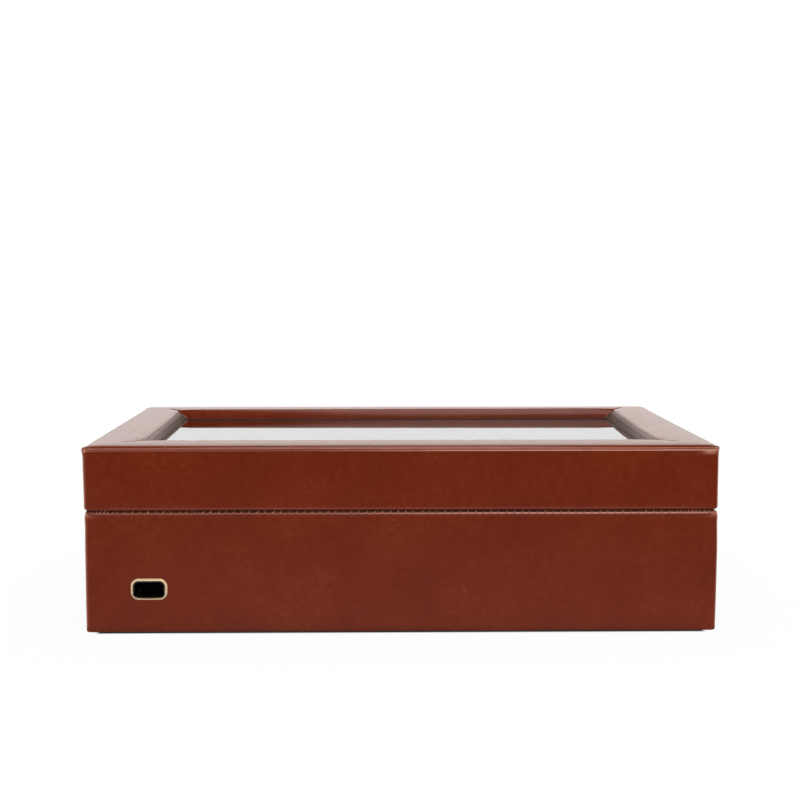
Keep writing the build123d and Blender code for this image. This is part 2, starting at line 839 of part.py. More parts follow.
with BuildPart() as drawer_runners:
    runner_front = -core_y + opening_turn_in
    for side in (-1, 1):
        with BuildSketch(upright(runner_front)):
            with Locations((side * (inner_x - runner_width / 2), floor_top + runner_thickness / 2)):
                Rectangle(runner_width, runner_thickness)
            with Locations((side * (inner_x - runner_thickness / 2), floor_top + runner_height / 2)):
                Rectangle(runner_thickness, runner_height)
        extrude(amount=runner_front - drawer_rear)
drawer_runners.part.label = "drawer_runners"
export_step(drawer_runners.part, "parts/drawer_runners.step")

with BuildPart() as drawer_stop:
    with BuildSketch(Plane.XY.offset(deck_height)):
        span(-drawer_stop_length / 2, drawer_stop_length / 2, stop_rear - drawer_stop_width, stop_rear)
    extrude(amount=-drawer_stop_height)
drawer_stop.part.label = "drawer_stop"
export_step(drawer_stop.part, "parts/drawer_stop.step")


# Lock: the ring plate and barrel in the case, the plug and cam that turn, and the strike

def ring(y_front, y_rear, outer_radius, inner_radius):
    """A round ring on the lock's axis, between two depths."""
    with BuildPart() as turned:
        with BuildSketch(upright(y_rear)):
            with Locations((0, lock_z)):
                Circle(outer_radius)
                Circle(inner_radius, mode=Mode.SUBTRACT)
        extrude(amount=y_rear - y_front)
    return turned


lock_escutcheon = ring(
    escutcheon_front, -half_y, escutcheon_radius, lock_plug_radius + lock_plug_clearance,
)
lock_escutcheon.part.label = "lock_escutcheon"
export_step(lock_escutcheon.part, "parts/lock_escutcheon.step")

lock_barrel = ring(
    -half_y, lock_pocket_front, lock_barrel_radius, lock_plug_radius + lock_plug_clearance,
)
lock_barrel.part.label = "lock_barrel"
export_step(lock_barrel.part, "parts/lock_barrel.step")

with BuildPart() as lock_plug:
    plug_front = escutcheon_front - lock_plug_proud
    with BuildSketch(upright(cam_front)):
        with Locations((0, lock_z)):
            Circle(lock_plug_radius)
    extrude(amount=cam_front - plug_front)
    with BuildSketch(upright(cam_rear)):
        with Locations((0, lock_z)):
            Circle(cam_stub_radius)
    extrude(amount=cam_thickness)
    with BuildSketch(upright(plug_front)):
        with Locations((0, lock_z)):
            Rectangle(keyway_width, keyway_height)
    extrude(amount=-keyway_depth, mode=Mode.SUBTRACT)
lock_plug.part.label = "lock_plug"
export_step(lock_plug.part, "parts/lock_plug.step")

with BuildPart() as lock_cam:
    with BuildSketch(upright(cam_rear)):
        span(0, cam_length, lock_z - cam_width / 2, lock_z + cam_width / 2)
        with Locations((0, lock_z)):
            Circle(cam_hub_radius)
            Circle(cam_stub_radius, mode=Mode.SUBTRACT)
    extrude(amount=cam_thickness)
lock_cam.part.label = "lock_cam"
export_step(lock_cam.part, "parts/lock_cam.step")

with BuildPart() as lock_strike:
    with BuildSketch(Plane.XY.offset(lid_bottom)):
        span(
            strike_slot_left - strike_margin, strike_slot_right + strike_margin,
            lock_pocket_front - strike_slot_margin, strike_overhang - inner_y,
        )
        span(
            strike_slot_left, strike_slot_right,
            cam_front - strike_slot_margin, cam_rear + strike_slot_margin, mode=Mode.SUBTRACT,
        )
    extrude(amount=leather)
lock_strike.part.label = "lock_strike"
export_step(lock_strike.part, "parts/lock_strike.step")


# Cable port: a metal ring outside, a plastic sleeve through the wall

with BuildPart() as cable_port_ring:
    with BuildSketch(upright(half_y)):
        with Locations((port_x, port_height)):
            RectangleRounded(
                port_hole_length + 2 * port_ring_width, port_hole_height + 2 * port_ring_width,
                port_hole_radius + port_ring_width,
            )
            RectangleRounded(
                port_hole_length, port_hole_height, port_hole_radius, mode=Mode.SUBTRACT,
            )
    extrude(amount=-port_ring_height)
cable_port_ring.part.label = "cable_port_ring"
export_step(cable_port_ring.part, "parts/cable_port_ring.step")

with BuildPart() as cable_port_sleeve:
    with BuildSketch(upright(inner_y)):
        with Locations((port_x, port_height)):
            RectangleRounded(port_hole_length, port_hole_height, port_hole_radius)
            RectangleRounded(
                port_hole_length - 2 * port_sleeve_wall, port_hole_height - 2 * port_sleeve_wall,
                port_hole_radius - port_sleeve_wall, mode=Mode.SUBTRACT,
            )
    extrude(amount=-(wall + leather + port_sleeve_proud))
cable_port_sleeve.part.label = "cable_port_sleeve"
export_step(cable_port_sleeve.part, "parts/cable_port_sleeve.step")
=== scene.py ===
import math

import bpy
import numpy as np
from mathutils import Matrix, Vector


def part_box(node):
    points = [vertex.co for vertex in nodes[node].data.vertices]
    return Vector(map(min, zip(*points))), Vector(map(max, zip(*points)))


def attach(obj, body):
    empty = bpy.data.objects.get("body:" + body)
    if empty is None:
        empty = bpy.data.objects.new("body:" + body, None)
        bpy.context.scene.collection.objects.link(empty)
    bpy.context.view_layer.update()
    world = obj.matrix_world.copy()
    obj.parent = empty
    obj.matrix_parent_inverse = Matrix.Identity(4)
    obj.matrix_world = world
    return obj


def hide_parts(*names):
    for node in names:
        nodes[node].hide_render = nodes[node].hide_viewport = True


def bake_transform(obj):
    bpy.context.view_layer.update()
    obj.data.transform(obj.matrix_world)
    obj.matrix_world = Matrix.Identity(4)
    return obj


# A leather watch box, seen from behind. Shapes are worked out in millimetres and turned
# into metres when their mesh is made. +Y is the back, with the hinge and the cable port.

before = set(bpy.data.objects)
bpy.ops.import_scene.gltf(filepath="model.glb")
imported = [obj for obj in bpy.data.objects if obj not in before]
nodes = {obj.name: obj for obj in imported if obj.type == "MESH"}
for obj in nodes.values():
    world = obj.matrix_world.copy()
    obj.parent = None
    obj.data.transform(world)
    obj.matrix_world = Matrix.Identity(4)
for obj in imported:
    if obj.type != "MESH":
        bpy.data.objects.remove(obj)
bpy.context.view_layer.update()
scene = bpy.context.scene


def box_mm(node):
    """The lowest and the highest corner of a CAD node at rest, in millimetres."""
    return [[round(value * 1000, 2) for value in corner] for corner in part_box(node)]


# Outside of the box and its seam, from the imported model
HALF_X, HALF_Y, CASE_TOP = box_mm("case_cover")[1]
LID_BOTTOM = box_mm("lid_cover")[0][2]
SEAM = (CASE_TOP + LID_BOTTOM) / 2
CORNER = 3.0
CORNER_STEPS = 8
SEAM_ROUND = 1.6
STITCH_PITCH = 4.06

# Openings in the leather, from left to right and from low to high
DRAWER_OPENING = (-155.0, 155.0, 6.2, 31.0)
LOCK_OPENING = (-5.9, 5.9, 44.1, 55.9)
PORT_OPENING = (123.75, 140.25, 18.5, 27.5)
# Where the cam of the lock comes up, and how far in the front edge is cut away for it
CAM_ROOM = (-5.0, 19.35)
CAM_DEPTH = 97.0

# Middles of the fittings, along the box and up, and the port's half sizes
DRAWER_MIDDLE = (0.0, 18.6)
LOCK_MIDDLE = (0.0, 50.0)
PORT_MIDDLE = (131.95, 23.1)
PORT_HALF = (8.4, 4.45)
PORT_CORNER = 3.0

# Cells of the tray: their pitch along the box, and the middles of the two rows of pillows
CELL_PITCH = 50.33
PILLOW_ROW = 49.0
PILLOW_MIDDLE = 56.0
PILLOW_HALF = (22.0, 41.5, 19.8)


# Camera, at the place worked out from the photograph's outline

camera = bpy.data.objects.new("camera", bpy.data.cameras.new("camera"))
scene.collection.objects.link(camera)
scene.camera = camera
forward = Vector((-0.01595, -0.99570, -0.09122)).normalized()
right = forward.cross(Vector((0, 0, 1))).normalized()
up = right.cross(forward)
camera.matrix_world = Matrix((
    (right.x, up.x, -forward.x, 0.01270),
    (right.y, up.y, -forward.y, 0.85088),
    (right.z, up.z, -forward.z, 0.19023),
    (0, 0, 0, 1),
))
camera.data.lens = 64.84
camera.data.sensor_width = 36.0
camera.data.clip_start = 0.01
camera.data.clip_end = 20.0


# Small helpers

def linear(hex_colour):
    """An sRGB hex colour as the linear colour that a socket takes."""
    parts = [int(hex_colour[i:i + 2], 16) / 255 for i in (1, 3, 5)]
    light = [c / 12.92 if c <= 0.04045 else ((c + 0.055) / 1.055) ** 2.4 for c in parts]
    return (*light, 1.0)


def add(tree, kind, values=None, links=None, **settings):
    """Adds a node with its settings, its values and what is linked to its inputs."""
    node = tree.nodes.new(kind)
    for name, value in settings.items():
        setattr(node, name, value)
    for name, value in (values or {}).items():
        node.inputs[name].default_value = value
    for name, source in (links or {}).items():
        tree.links.new(source, node.inputs[name])
    return node


def smooth(t):
    """Rises softly from 0 to 1 as t does, and stays there."""
    t = np.clip(t, 0.0, 1.0)
    return t * t * (3 - 2 * t)


def bell(distance, width):
    """1 where the distance is 0, and next to nothing past twice the width."""
    return np.exp(-(distance / width) ** 2)


def wave(x, seed, parts=((131, 0.6), (67, 0.45), (37, 0.25), (17, 0.06))):
    """A soft uneven line, about 1 high, that never repeats over the box. The parts are the
    lengths of its swings and their heights."""
    rng = np.random.default_rng(seed)
    total = np.zeros_like(x, dtype=float)
    for length, height in parts:
        total += height * np.sin(2 * math.pi * x / length + rng.uniform(0, 6.28))
    return total


def piece(name, points, faces, material, wear_and_highlight=None, painted_shade=None):
    """A mesh from points in millimetres, with each point's wear and painted highlight, and its
    painted shade.
    """
    mesh = bpy.data.meshes.new(name)
    places = np.asarray(points, float).reshape(-1, 3) * 0.001
    mesh.from_pydata([tuple(p) for p in places], [], faces)
    mesh.validate()
    for label, values in (("wear_and_highlight", wear_and_highlight), ("painted_shade", painted_shade)):
        if values is not None:
            layer = mesh.attributes.new(label, "FLOAT", "POINT")
            layer.data.foreach_set("value", np.asarray(values, np.float32).reshape(-1))
    mesh.shade_smooth()
    mesh.materials.append(material)
    obj = bpy.data.objects.new(name, mesh)
    scene.collection.objects.link(obj)
    return obj


def settle(obj):
    """Applies all modifiers, so that the piece is a plain mesh."""
    bpy.context.view_layer.update()
    evaluated = obj.evaluated_get(bpy.context.evaluated_depsgraph_get())
    mesh = bpy.data.meshes.new_from_object(evaluated)
    obj.modifiers.clear()
    old = obj.data
    obj.data = mesh
    bpy.data.meshes.remove(old)
    mesh.name = obj.name
    return obj


def thicken(obj, thickness):
    """Gives a sheet of leather its thickness, inwards."""
    solid = obj.modifiers.new("thickness", "SOLIDIFY")
    solid.thickness = thickness * 0.001
    solid.offset = -1.0
    settle(obj)
    obj.data.set_sharp_from_angle(angle=math.radians(48))
    return obj


def join(name, objects, material):
    """Several meshes of one finish as one piece."""
    points, faces = [], []
    start = 0
    for obj in objects:
        points += [v.co * 1000 for v in obj.data.vertices]
        faces += [[start + i for i in p.vertices] for p in obj.data.polygons]
        start = len(points)
    for obj in objects:
        bpy.data.objects.remove(obj)
    return piece(name, points, faces, material)


# Materials

def emptied(owner):
    """The node tree of a material or of the world, with nothing in it."""
    owner.use_nodes = True
    owner.node_tree.nodes.clear()
    return owner.node_tree


def new_material(name):
    """A material with a shader: itself, its tree, the shader, and the place on the piece."""
    material = bpy.data.materials.new(name)
    tree = emptied(material)
    shader = add(tree, "ShaderNodeBsdfPrincipled")
    add(tree, "ShaderNodeOutputMaterial", links={"Surface": shader.outputs["BSDF"]})
    place = add(tree, "ShaderNodeTexCoord")
    return material, tree, shader, place.outputs["Object"]


def set_values(shader, **values):
    """Sets the shader's own sockets. An underscore stands for a space in their names."""
    for name, value in values.items():
        shader.inputs[name.replace("_", " ")].default_value = value


def coloured(ramp, stops):
    """Gives a colour ramp its (position, hex colour) stops."""
    elements = ramp.color_ramp.elements
    while len(elements) < len(stops):
        elements.new(0.5)
    for element, (position, colour) in zip(elements, stops):
        element.position = position
        element.color = linear(colour)
    return ramp.outputs["Color"]


def coated_leather(name, dark, middle, light, wear_highlight_colour):
    """Smooth chrome-tanned leather with a thin polished coat. The coat gives a soft sheen
    that turns almost white at a grazing look, and the hide under it a faint uneven tone."""
    material, tree, shader, place = new_material(name)
    # Clouding of the dye, about 35 mm across, and mottling of about 4 mm
    cloud = add(tree, "ShaderNodeTexNoise", {"Scale": 28.0, "Detail": 2.0, "Roughness": 0.5},
                {"Vector": place})
    mottle = add(tree, "ShaderNodeTexNoise", {"Scale": 260.0, "Detail": 3.0, "Roughness": 0.6},
                 {"Vector": place})
    mixed = add(tree, "ShaderNodeMix", {"Factor": 0.5},
                {"A": cloud.outputs["Fac"], "B": mottle.outputs["Fac"]})
    tone = coloured(add(tree, "ShaderNodeValToRGB", links={"Fac": mixed.outputs["Result"]}),
                    ((0.34, dark), (0.5, middle), (0.68, light)))
    # Pin-sized flecks of dust and scuffs on the coat, in clusters
    fleck = add(tree, "ShaderNodeTexVoronoi", {"Scale": 420.0, "Randomness": 1.0},
                {"Vector": place})
    fleck_size = add(tree, "ShaderNodeMapRange",
                     {"From Min": 0.06, "From Max": 0.14, "To Min": 0.3, "To Max": 0.0},
                     {"Value": fleck.outputs["Distance"]})
    sparse = add(tree, "ShaderNodeMapRange",
                 {"From Min": 0.56, "From Max": 0.66, "To Min": 0.0, "To Max": 1.0},
                 {"Value": cloud.outputs["Fac"]})
    flecks = add(tree, "ShaderNodeMath", links={0: fleck_size.outputs[0], 1: sparse.outputs[0]},
                 operation="MULTIPLY")
    # Rubbed edges, and painted highlights on ridges, lips, ears and rims, come from this attribute
    # and turn the colour towards the pale one
    wear_and_highlight = add(tree, "ShaderNodeAttribute", attribute_name="wear_and_highlight")
    flecks_wear_and_highlight = add(tree, "ShaderNodeMath", links={0: flecks.outputs[0], 1: wear_and_highlight.outputs["Fac"]},
                    operation="MAXIMUM")
    tint = add(tree, "ShaderNodeMix", {"B": linear(wear_highlight_colour)},
               {"Factor": flecks_wear_and_highlight.outputs[0], "A": tone}, data_type="RGBA")
    # Painted shade: grooves, creases, slots and slopes that fall into shade are darkened to a
    # near-black brown, and made matt
    painted_shade = add(tree, "ShaderNodeAttribute", attribute_name="painted_shade")
    painted_shade_tone = add(tree, "ShaderNodeMix", {"B": linear("#1c0402")},
               {"Factor": painted_shade.outputs["Fac"], "A": tint.outputs["Result"]}, data_type="RGBA")
    tree.links.new(painted_shade_tone.outputs["Result"], shader.inputs["Base Color"])
    # Pores and hair grain. The real grain is about 0.2 mm; it is drawn at 0.8 mm to show
    grain = add(tree, "ShaderNodeTexVoronoi", {"Scale": 1250.0}, {"Vector": place})
    fine = add(tree, "ShaderNodeTexNoise", {"Scale": 900.0, "Detail": 4.0, "Roughness": 0.65},
               {"Vector": place})
    relief = add(tree, "ShaderNodeMix", {"Factor": 0.5},
                 {"A": grain.outputs["Distance"], "B": fine.outputs["Fac"]})
    bump = add(tree, "ShaderNodeBump", {"Strength": 0.03, "Distance": 0.0001},
               {"Height": relief.outputs["Result"]})
    tree.links.new(bump.outputs["Normal"], shader.inputs["Normal"])
    gloss = add(tree, "ShaderNodeMapRange",
                {"From Min": 0.3, "From Max": 0.7, "To Min": 0.18, "To Max": 0.22},
                {"Value": mottle.outputs["Fac"]})
    roughness = add(tree, "ShaderNodeMath", {1: 0.35}, {0: painted_shade.outputs["Fac"],
                                                        2: gloss.outputs[0]},
                    operation="MULTIPLY_ADD")
    tree.links.new(roughness.outputs[0], shader.inputs["Roughness"])
    set_values(shader, IOR=1.47, Sheen_Weight=0.34, Sheen_Roughness=0.3,
               Sheen_Tint=linear("#f4d0b4"))
    return material


def brushed_suede(name, dark, light, sheen_colour):
    """Brushed micro-suede: a short nap that gives a matt, faintly cloudy brown."""
    material, tree, shader, place = new_material(name)
    # Strokes in the nap of about 12 mm, and tufts of about 0.6 mm
    strokes = add(tree, "ShaderNodeTexNoise", {"Scale": 80.0, "Detail": 2.0, "Distortion": 0.6},
                  {"Vector": place})
    tufts = add(tree, "ShaderNodeTexNoise", {"Scale": 1700.0, "Detail": 2.0}, {"Vector": place})
    mixed = add(tree, "ShaderNodeMix", {"Factor": 0.4},
                {"A": strokes.outputs["Fac"], "B": tufts.outputs["Fac"]})
    nap = add(tree, "ShaderNodeValToRGB", links={"Fac": mixed.outputs["Result"]})
    tree.links.new(coloured(nap, ((0.32, dark), (0.68, light))), shader.inputs["Base Color"])
    bump = add(tree, "ShaderNodeBump", {"Strength": 0.35, "Distance": 0.0002},
               {"Height": tufts.outputs["Fac"]})
    tree.links.new(bump.outputs["Normal"], shader.inputs["Normal"])
    set_values(shader, Roughness=0.92, Sheen_Weight=0.35, Sheen_Roughness=0.45,
               Sheen_Tint=linear(sheen_colour), IOR=1.4)
    return material


def metal(name, colour, shade, roughness, stretch, metallic=1.0):
    """Metal with hairlines left by polishing or brushing, and a slight uneven tarnish."""
    material, tree, shader, place = new_material(name)
    run = add(tree, "ShaderNodeMapping", {"Scale": stretch}, {"Vector": place})
    lines = add(tree, "ShaderNodeTexNoise", {"Scale": 900.0, "Detail": 2.0},
                {"Vector": run.outputs["Vector"]})
    stain = add(tree, "ShaderNodeTexNoise", {"Scale": 120.0, "Detail": 2.0}, {"Vector": place})
    tarnish = add(tree, "ShaderNodeValToRGB", links={"Fac": stain.outputs["Fac"]})
    tree.links.new(coloured(tarnish, ((0.35, shade), (0.6, colour))),
                   shader.inputs["Base Color"])
    rough = add(tree, "ShaderNodeMapRange",
                {"From Min": 0.3, "From Max": 0.7, "To Min": roughness * 0.7,
                 "To Max": roughness * 1.4}, {"Value": lines.outputs["Fac"]})
    tree.links.new(rough.outputs[0], shader.inputs["Roughness"])
    bump = add(tree, "ShaderNodeBump", {"Strength": 0.08, "Distance": 0.00005},
               {"Height": lines.outputs["Fac"]})
    tree.links.new(bump.outputs["Normal"], shader.inputs["Normal"])
    set_values(shader, Metallic=metallic)
    return material


def board(name, dark, light, stretch):
    """Board of pressed or stained wood fibre, matt, with a fine streaky fleck."""
    material, tree, shader, place = new_material(name)
    run = add(tree, "ShaderNodeMapping", {"Scale": stretch}, {"Vector": place})
    fibre = add(tree, "ShaderNodeTexNoise", {"Scale": 500.0, "Detail": 5.0, "Roughness": 0.7},
                {"Vector": run.outputs["Vector"]})
    streaks = add(tree, "ShaderNodeValToRGB", links={"Fac": fibre.outputs["Fac"]})
    tree.links.new(coloured(streaks, ((0.3, dark), (0.7, light))), shader.inputs["Base Color"])
    bump = add(tree, "ShaderNodeBump", {"Strength": 0.2, "Distance": 0.0001},
               {"Height": fibre.outputs["Fac"]})
    tree.links.new(bump.outputs["Normal"], shader.inputs["Normal"])
    set_values(shader, Roughness=0.7)
    return material


def moulded_plastic(name, colour, roughness, grain_strength, ior=1.49):
    """Moulded polymer. A fine spark-eroded grain dulls it, or a polished mould leaves it wet."""
    material, tree, shader, place = new_material(name)
    grain = add(tree, "ShaderNodeTexNoise", {"Scale": 1500.0, "Detail": 2.0}, {"Vector": place})
    bump = add(tree, "ShaderNodeBump", {"Strength": grain_strength, "Distance": 0.0001},
               {"Height": grain.outputs["Fac"]})
    tree.links.new(bump.outputs["Normal"], shader.inputs["Normal"])
    blotch = add(tree, "ShaderNodeMapRange",
                 {"From Min": 0.3, "From Max": 0.7, "To Min": roughness * 0.8,
                  "To Max": roughness * 1.2}, {"Value": grain.outputs["Fac"]})
    tree.links.new(blotch.outputs[0], shader.inputs["Roughness"])
    set_values(shader, Base_Color=linear(colour), IOR=ior)
    return material


# The last colour of each leather is the pale colour of its rubbed wear and of its painted
# highlights
leather = coated_leather("drum_dyed_coated_leather", "#661d02", "#6d2103", "#742808", "#cc8f7a")
waxed_thread = coated_leather("waxed_thread", "#8d4b38", "#a4604c", "#bd7c68", "#c98f7c")
hinge_leather = coated_leather("skived_hinge_leather", "#661d02", "#6d2103", "#742808", "#cf9a88")
suede = brushed_suede("brushed_micro_suede", "#4a3529", "#61483a", "#a08070")
pillow_suede = brushed_suede("padded_micro_suede", "#6b5343", "#846a58", "#b89c88")
felt = brushed_suede("pressed_wool_felt", "#1b1110", "#2c1e1c", "#5c4a48")
brass = metal("polished_brass", "#f2c888", "#dcae6c", 0.13, (1, 1, 1))
# The ring is lacquered, and the lacquer scatters part of the light
satin_brass = metal("lacquered_pale_brass", "#ffe2b8", "#fcd6a8", 0.30, (1, 1, 1), 0.4)
brushed_brass = metal("brushed_brass", "#d8b06c", "#b88e50", 0.28, (6, 1, 0.08))
zinc = metal("zinc_plated_steel", "#c3c3c2", "#a3a4a6", 0.32, (1, 1, 1))
fibreboard = board("fibreboard", "#8d6a48", "#a9855d", (1, 1, 1))
stained_board = board("stained_fibreboard", "#3a1f14", "#553022", (0.1, 1, 1))
runner_plastic = moulded_plastic("acetal_runner", "#1c1a1a", 0.5, 0.3)
sleeve_plastic = moulded_plastic("gloss_black_sleeve", "#120b03", 0.1, 0.02, 1.9)


def clear_glass():
    """Float glass, polished by the float: it shows what is above it at a grazing look, and
    lets the light of the room fall through on the tray."""
    material, tree, shader, place = new_material("float_glass")
    set_values(shader, Base_Color=linear("#f4faf7"), Roughness=0.0, IOR=1.5,
               Transmission_Weight=1.0)
    ripple = add(tree, "ShaderNodeTexNoise", {"Scale": 9.0, "Detail": 0.0}, {"Vector": place})
    bump = add(tree, "ShaderNodeBump", {"Strength": 0.02, "Distance": 0.0005},
               {"Height": ripple.outputs["Fac"]})
    tree.links.new(bump.outputs["Normal"], shader.inputs["Normal"])
    path = add(tree, "ShaderNodeLightPath")
    through = add(tree, "ShaderNodeMath", links={0: path.outputs["Is Shadow Ray"],
                                                 1: path.outputs["Is Diffuse Ray"]},
                  operation="MAXIMUM")
    clear = add(tree, "ShaderNodeBsdfTransparent", {"Color": linear("#eef4f1")})
    mix = add(tree, "ShaderNodeMixShader", links={0: through.outputs[0],
                                                  1: shader.outputs["BSDF"],
                                                  2: clear.outputs["BSDF"]})
    tree.links.new(mix.outputs["Shader"], tree.get_output_node("ALL").inputs["Surface"])
    return material


glass = clear_glass()


# Leather: a sheet that follows a profile round the box

def straight(places, outer, here, fixed):
    """Places along one side. Past the fixed part they close up as the ring gets smaller."""
    size = np.abs(places)
    size = np.where(size > fixed, fixed + (size - fixed) * (here - fixed) / (outer - fixed), size)
    return np.sign(places) * size


def ring(half_a, half_b, radius, reference, sides, fixed):
    """Points round a rectangle with round corners, anticlockwise from +A. The sides are the
    places along +B, -A, -B and +A, between the corners of the reference rectangle."""
    points = []
    corners = ((1, 1, 0), (-1, 1, 90), (-1, -1, 180), (1, -1, 270))
    for (sa, sb, start), places in zip(corners, sides):
        for k in range(CORNER_STEPS + 1):
            angle = math.radians(start + 90 * k / CORNER_STEPS)
            points.append((sa * (half_a - radius) + radius * math.cos(angle),
                           sb * (half_b - radius) + radius * math.sin(angle)))
        if start in (0, 180):
            values = straight(places, reference[0], half_a - radius, fixed[0])
            points += [(v, sb * half_b) for v in (-values if start == 0 else values)]
        else:
            values = straight(places, reference[1], half_b - radius, fixed[1])
            points += [(sa * half_a, v) for v in (-values if start == 90 else values)]
    return np.array(points)


def side_places(limit, step, extra=()):
    """Places along a side, close together near the corners, with some exact ones added."""
    near = [limit - d for d in (0.3, 0.7, 1.2, 1.9, 2.8, 4.0, 6.0, 9.0)]
    count = int(2 * near[-1] / step)
    middle = list(np.linspace(-near[-1], near[-1], count + 1))
    values = sorted(set(round(v, 4) for v in [-v for v in near] + middle + near))
    for exact in extra:
        values = [v for v in values if abs(v - exact) > step * 0.3] + [exact]
    return np.array(sorted(values))


def grid_faces(rows, columns, cut=None):
    """Faces between rows of points that are closed into rings, without those that are cut."""
    faces = []
    for j in range(rows - 1):
        for i in range(columns):
            if cut is None or not cut[j, i]:
                k = (i + 1) % columns
                faces.append((j * columns + i, j * columns + k,
                              (j + 1) * columns + k, (j + 1) * columns + i))
    return faces


def end_faces(rows, columns):
    """The two faces that close the first and the last ring."""
    return [tuple(range(columns - 1, -1, -1)), tuple(range((rows - 1) * columns, rows * columns))]


def other_way(faces):
    """The same faces, pointing the other way."""
    return [tuple(reversed(face)) for face in faces]


def arc(middle_d, middle_z, radius, start, end, steps):
    """Rows (inset, height) along an arc. Angles in degrees, 0 is outwards, 90 is up."""
    rows = []
    for k in range(steps + 1):
        angle = math.radians(start + (end - start) * k / steps)
        rows.append((middle_d - radius * math.cos(angle), middle_z + radius * math.sin(angle)))
    return rows


def sweep(rows, sides, radius_of, fixed):
    """The points of a sheet: one ring for each (inset, height) row."""
    reference = (HALF_X - CORNER, HALF_Y - CORNER)
    layers = []
    for inset, height in rows:
        loop = ring(HALF_X - inset, HALF_Y - inset, radius_of(inset), reference, sides, fixed)
        layers.append(np.column_stack([loop, np.full(len(loop), height)]))
    return np.array(layers)


def standing_loops(rows, half, corner, least, middle, sides, fixed):
    """Loops round a rectangle that stands across the box, one for each (outset, depth) row.
    Their corners are never rounder than the least radius allows."""
    reference = (half[0] - corner, half[1] - corner)
    layers = []
    for out, depth in rows:
        loop = ring(half[0] + out, half[1] + out, max(corner + out, least), reference, sides,
                    fixed)
        layers.append(np.column_stack([middle[0] + loop[:, 0], np.full(len(loop), depth),
                                       middle[1] + loop[:, 1]]))
    return np.array(layers)


def outward(layers):
    """How far each point moves outwards for one millimetre, near the upright faces."""
    x, y = layers[..., 0], layers[..., 1]
    dx = smooth((np.abs(x) - (HALF_X - 4)) / 3) * np.sign(x)
    dy = smooth((np.abs(y) - (HALF_Y - 4)) / 3) * np.sign(y)
    size = np.maximum(np.hypot(dx, dy), 1e-6)
    return np.stack([dx / size, dy / size], axis=-1) * np.minimum(size, 1)[..., None]


def corner_rim_highlight(x, y):
    """Painted highlight: the upright corners are lit pale along their outermost line, the left ones
    wider.
    """
    line = smooth((np.abs(x) - (HALF_X - 1.2)) / 0.7)
    wide = smooth((x - (HALF_X - 2.6)) / 2.2)
    return (0.8 * line + 0.2 * wide) * smooth((np.abs(y) - (HALF_Y - 3.6)) / 1.4)


def widening(x, y, z):
    """The sides swell a little towards the back corners, where the leather lies double."""
    heights = (0, 15, 45, 60, 66, 98)
    amount = np.where(x < 0, np.interp(z, heights, (0.85, 1.1, 1.3, 0.9, 0.85, 0.6)),
                      np.interp(z, heights, (0.4, 0.5, 0.45, 0.2, 0.1, 0.0)))
    return np.sign(x) * amount * smooth((np.abs(x) - 145) / 20) * bell(y - HALF_Y, 50.0)


# Case leather

def case_leather_piece():
    """From under the base up the walls, over their top edge and down into the tray. There
    are rows and columns of points along the edges of each opening."""
    rows = [(10.4, 1.35), (6.0, 1.3), (4.0, 1.1), (2.4, 0.55), (1.6, 0.18)]
    rows += arc(0.8, 0.82, 0.8, -90, 0, 5)
    rows += [(0.0, z) for z in (2.0, 3.0, 4.6, 6.2, 11.0, 15.0, 18.5, 23.0, 27.5, 31.0, 36.0,
                                40.0, 44.1, 50.0, 55.9, 59.5, 61.2)]
    rows += arc(SEAM_ROUND, CASE_TOP - SEAM_ROUND, SEAM_ROUND, 0, 90, 6)
    rows += [(4.0, CASE_TOP), (7.0, CASE_TOP), (9.6, 63.68), (10.0, 63.4), (10.0, 62.7)]
    back = side_places(HALF_X - CORNER, 5.0, PORT_OPENING[:2])
    front = side_places(HALF_X - CORNER, 5.0, DRAWER_OPENING[:2] + LOCK_OPENING[:2] + CAM_ROOM)
    side = side_places(HALF_Y - CORNER, 5.0)
    layers = sweep(rows, (-back[::-1], side, front, side),
                   lambda inset: max(CORNER - inset, 0.35), (120.0, 60.0))
    x, y, z = (layers[..., k].copy() for k in range(3))
    face = smooth((z - 2.5) / 6) * smooth((60.0 - z) / 6)
    push = outward(layers)
    # Low swellings of the hide over the board, and where it is pulled round the corners
    ripple = 0.05 * wave(x * 0.7 + y * 0.9 + z * 0.4, 3) * face
    # The leather gathers a little in front of the seam's ends
    corner = bell(np.hypot(np.abs(x) - HALF_X, y - HALF_Y), 7.0)
    gather = 0.22 * corner * bell(z - 60.5, 2.2) - 0.25 * corner * bell(z - 57.6, 0.5) * (x < 0)
    layers[..., 0] += push[..., 0] * (ripple + gather) + widening(x, y, z)
    layers[..., 1] += push[..., 1] * (ripple + gather)
    middle = (layers[:-1] + layers[1:]) / 2
    middle = (middle + np.roll(middle, -1, axis=1)) / 2
    across, painted_shade_tone, high = (middle[..., k] for k in range(3))

    def within(left, right, low, top):
        return (left < across) & (across < right) & (low < high) & (high < top)

    cut = (painted_shade_tone < -HALF_Y + 1) & (within(*DRAWER_OPENING) | within(*LOCK_OPENING))
    cut |= (painted_shade_tone > HALF_Y - 1) & within(*PORT_OPENING)
    turned_in = np.array([inset > 6.9 for inset, height in rows[:-1]])[:, None]
    cut |= within(*CAM_ROOM, 60.0, SEAM) & (painted_shade_tone < -CAM_DEPTH) & turned_in
    # Wear and painted highlights: the top edge at the seam, the seam's ends and the upright corners
    # are lit pale
    wear_and_highlight = 0.35 * bell(z - 63.2, 0.5)
    wear_and_highlight += 0.35 * corner * bell(z - 62.3, 1.2)
    wear_and_highlight += 0.75 * corner_rim_highlight(x, y) * smooth((z - 1.5) / 2)
    return piece("case_leather", layers, grid_faces(*layers.shape[:2], cut), leather, wear_and_highlight)


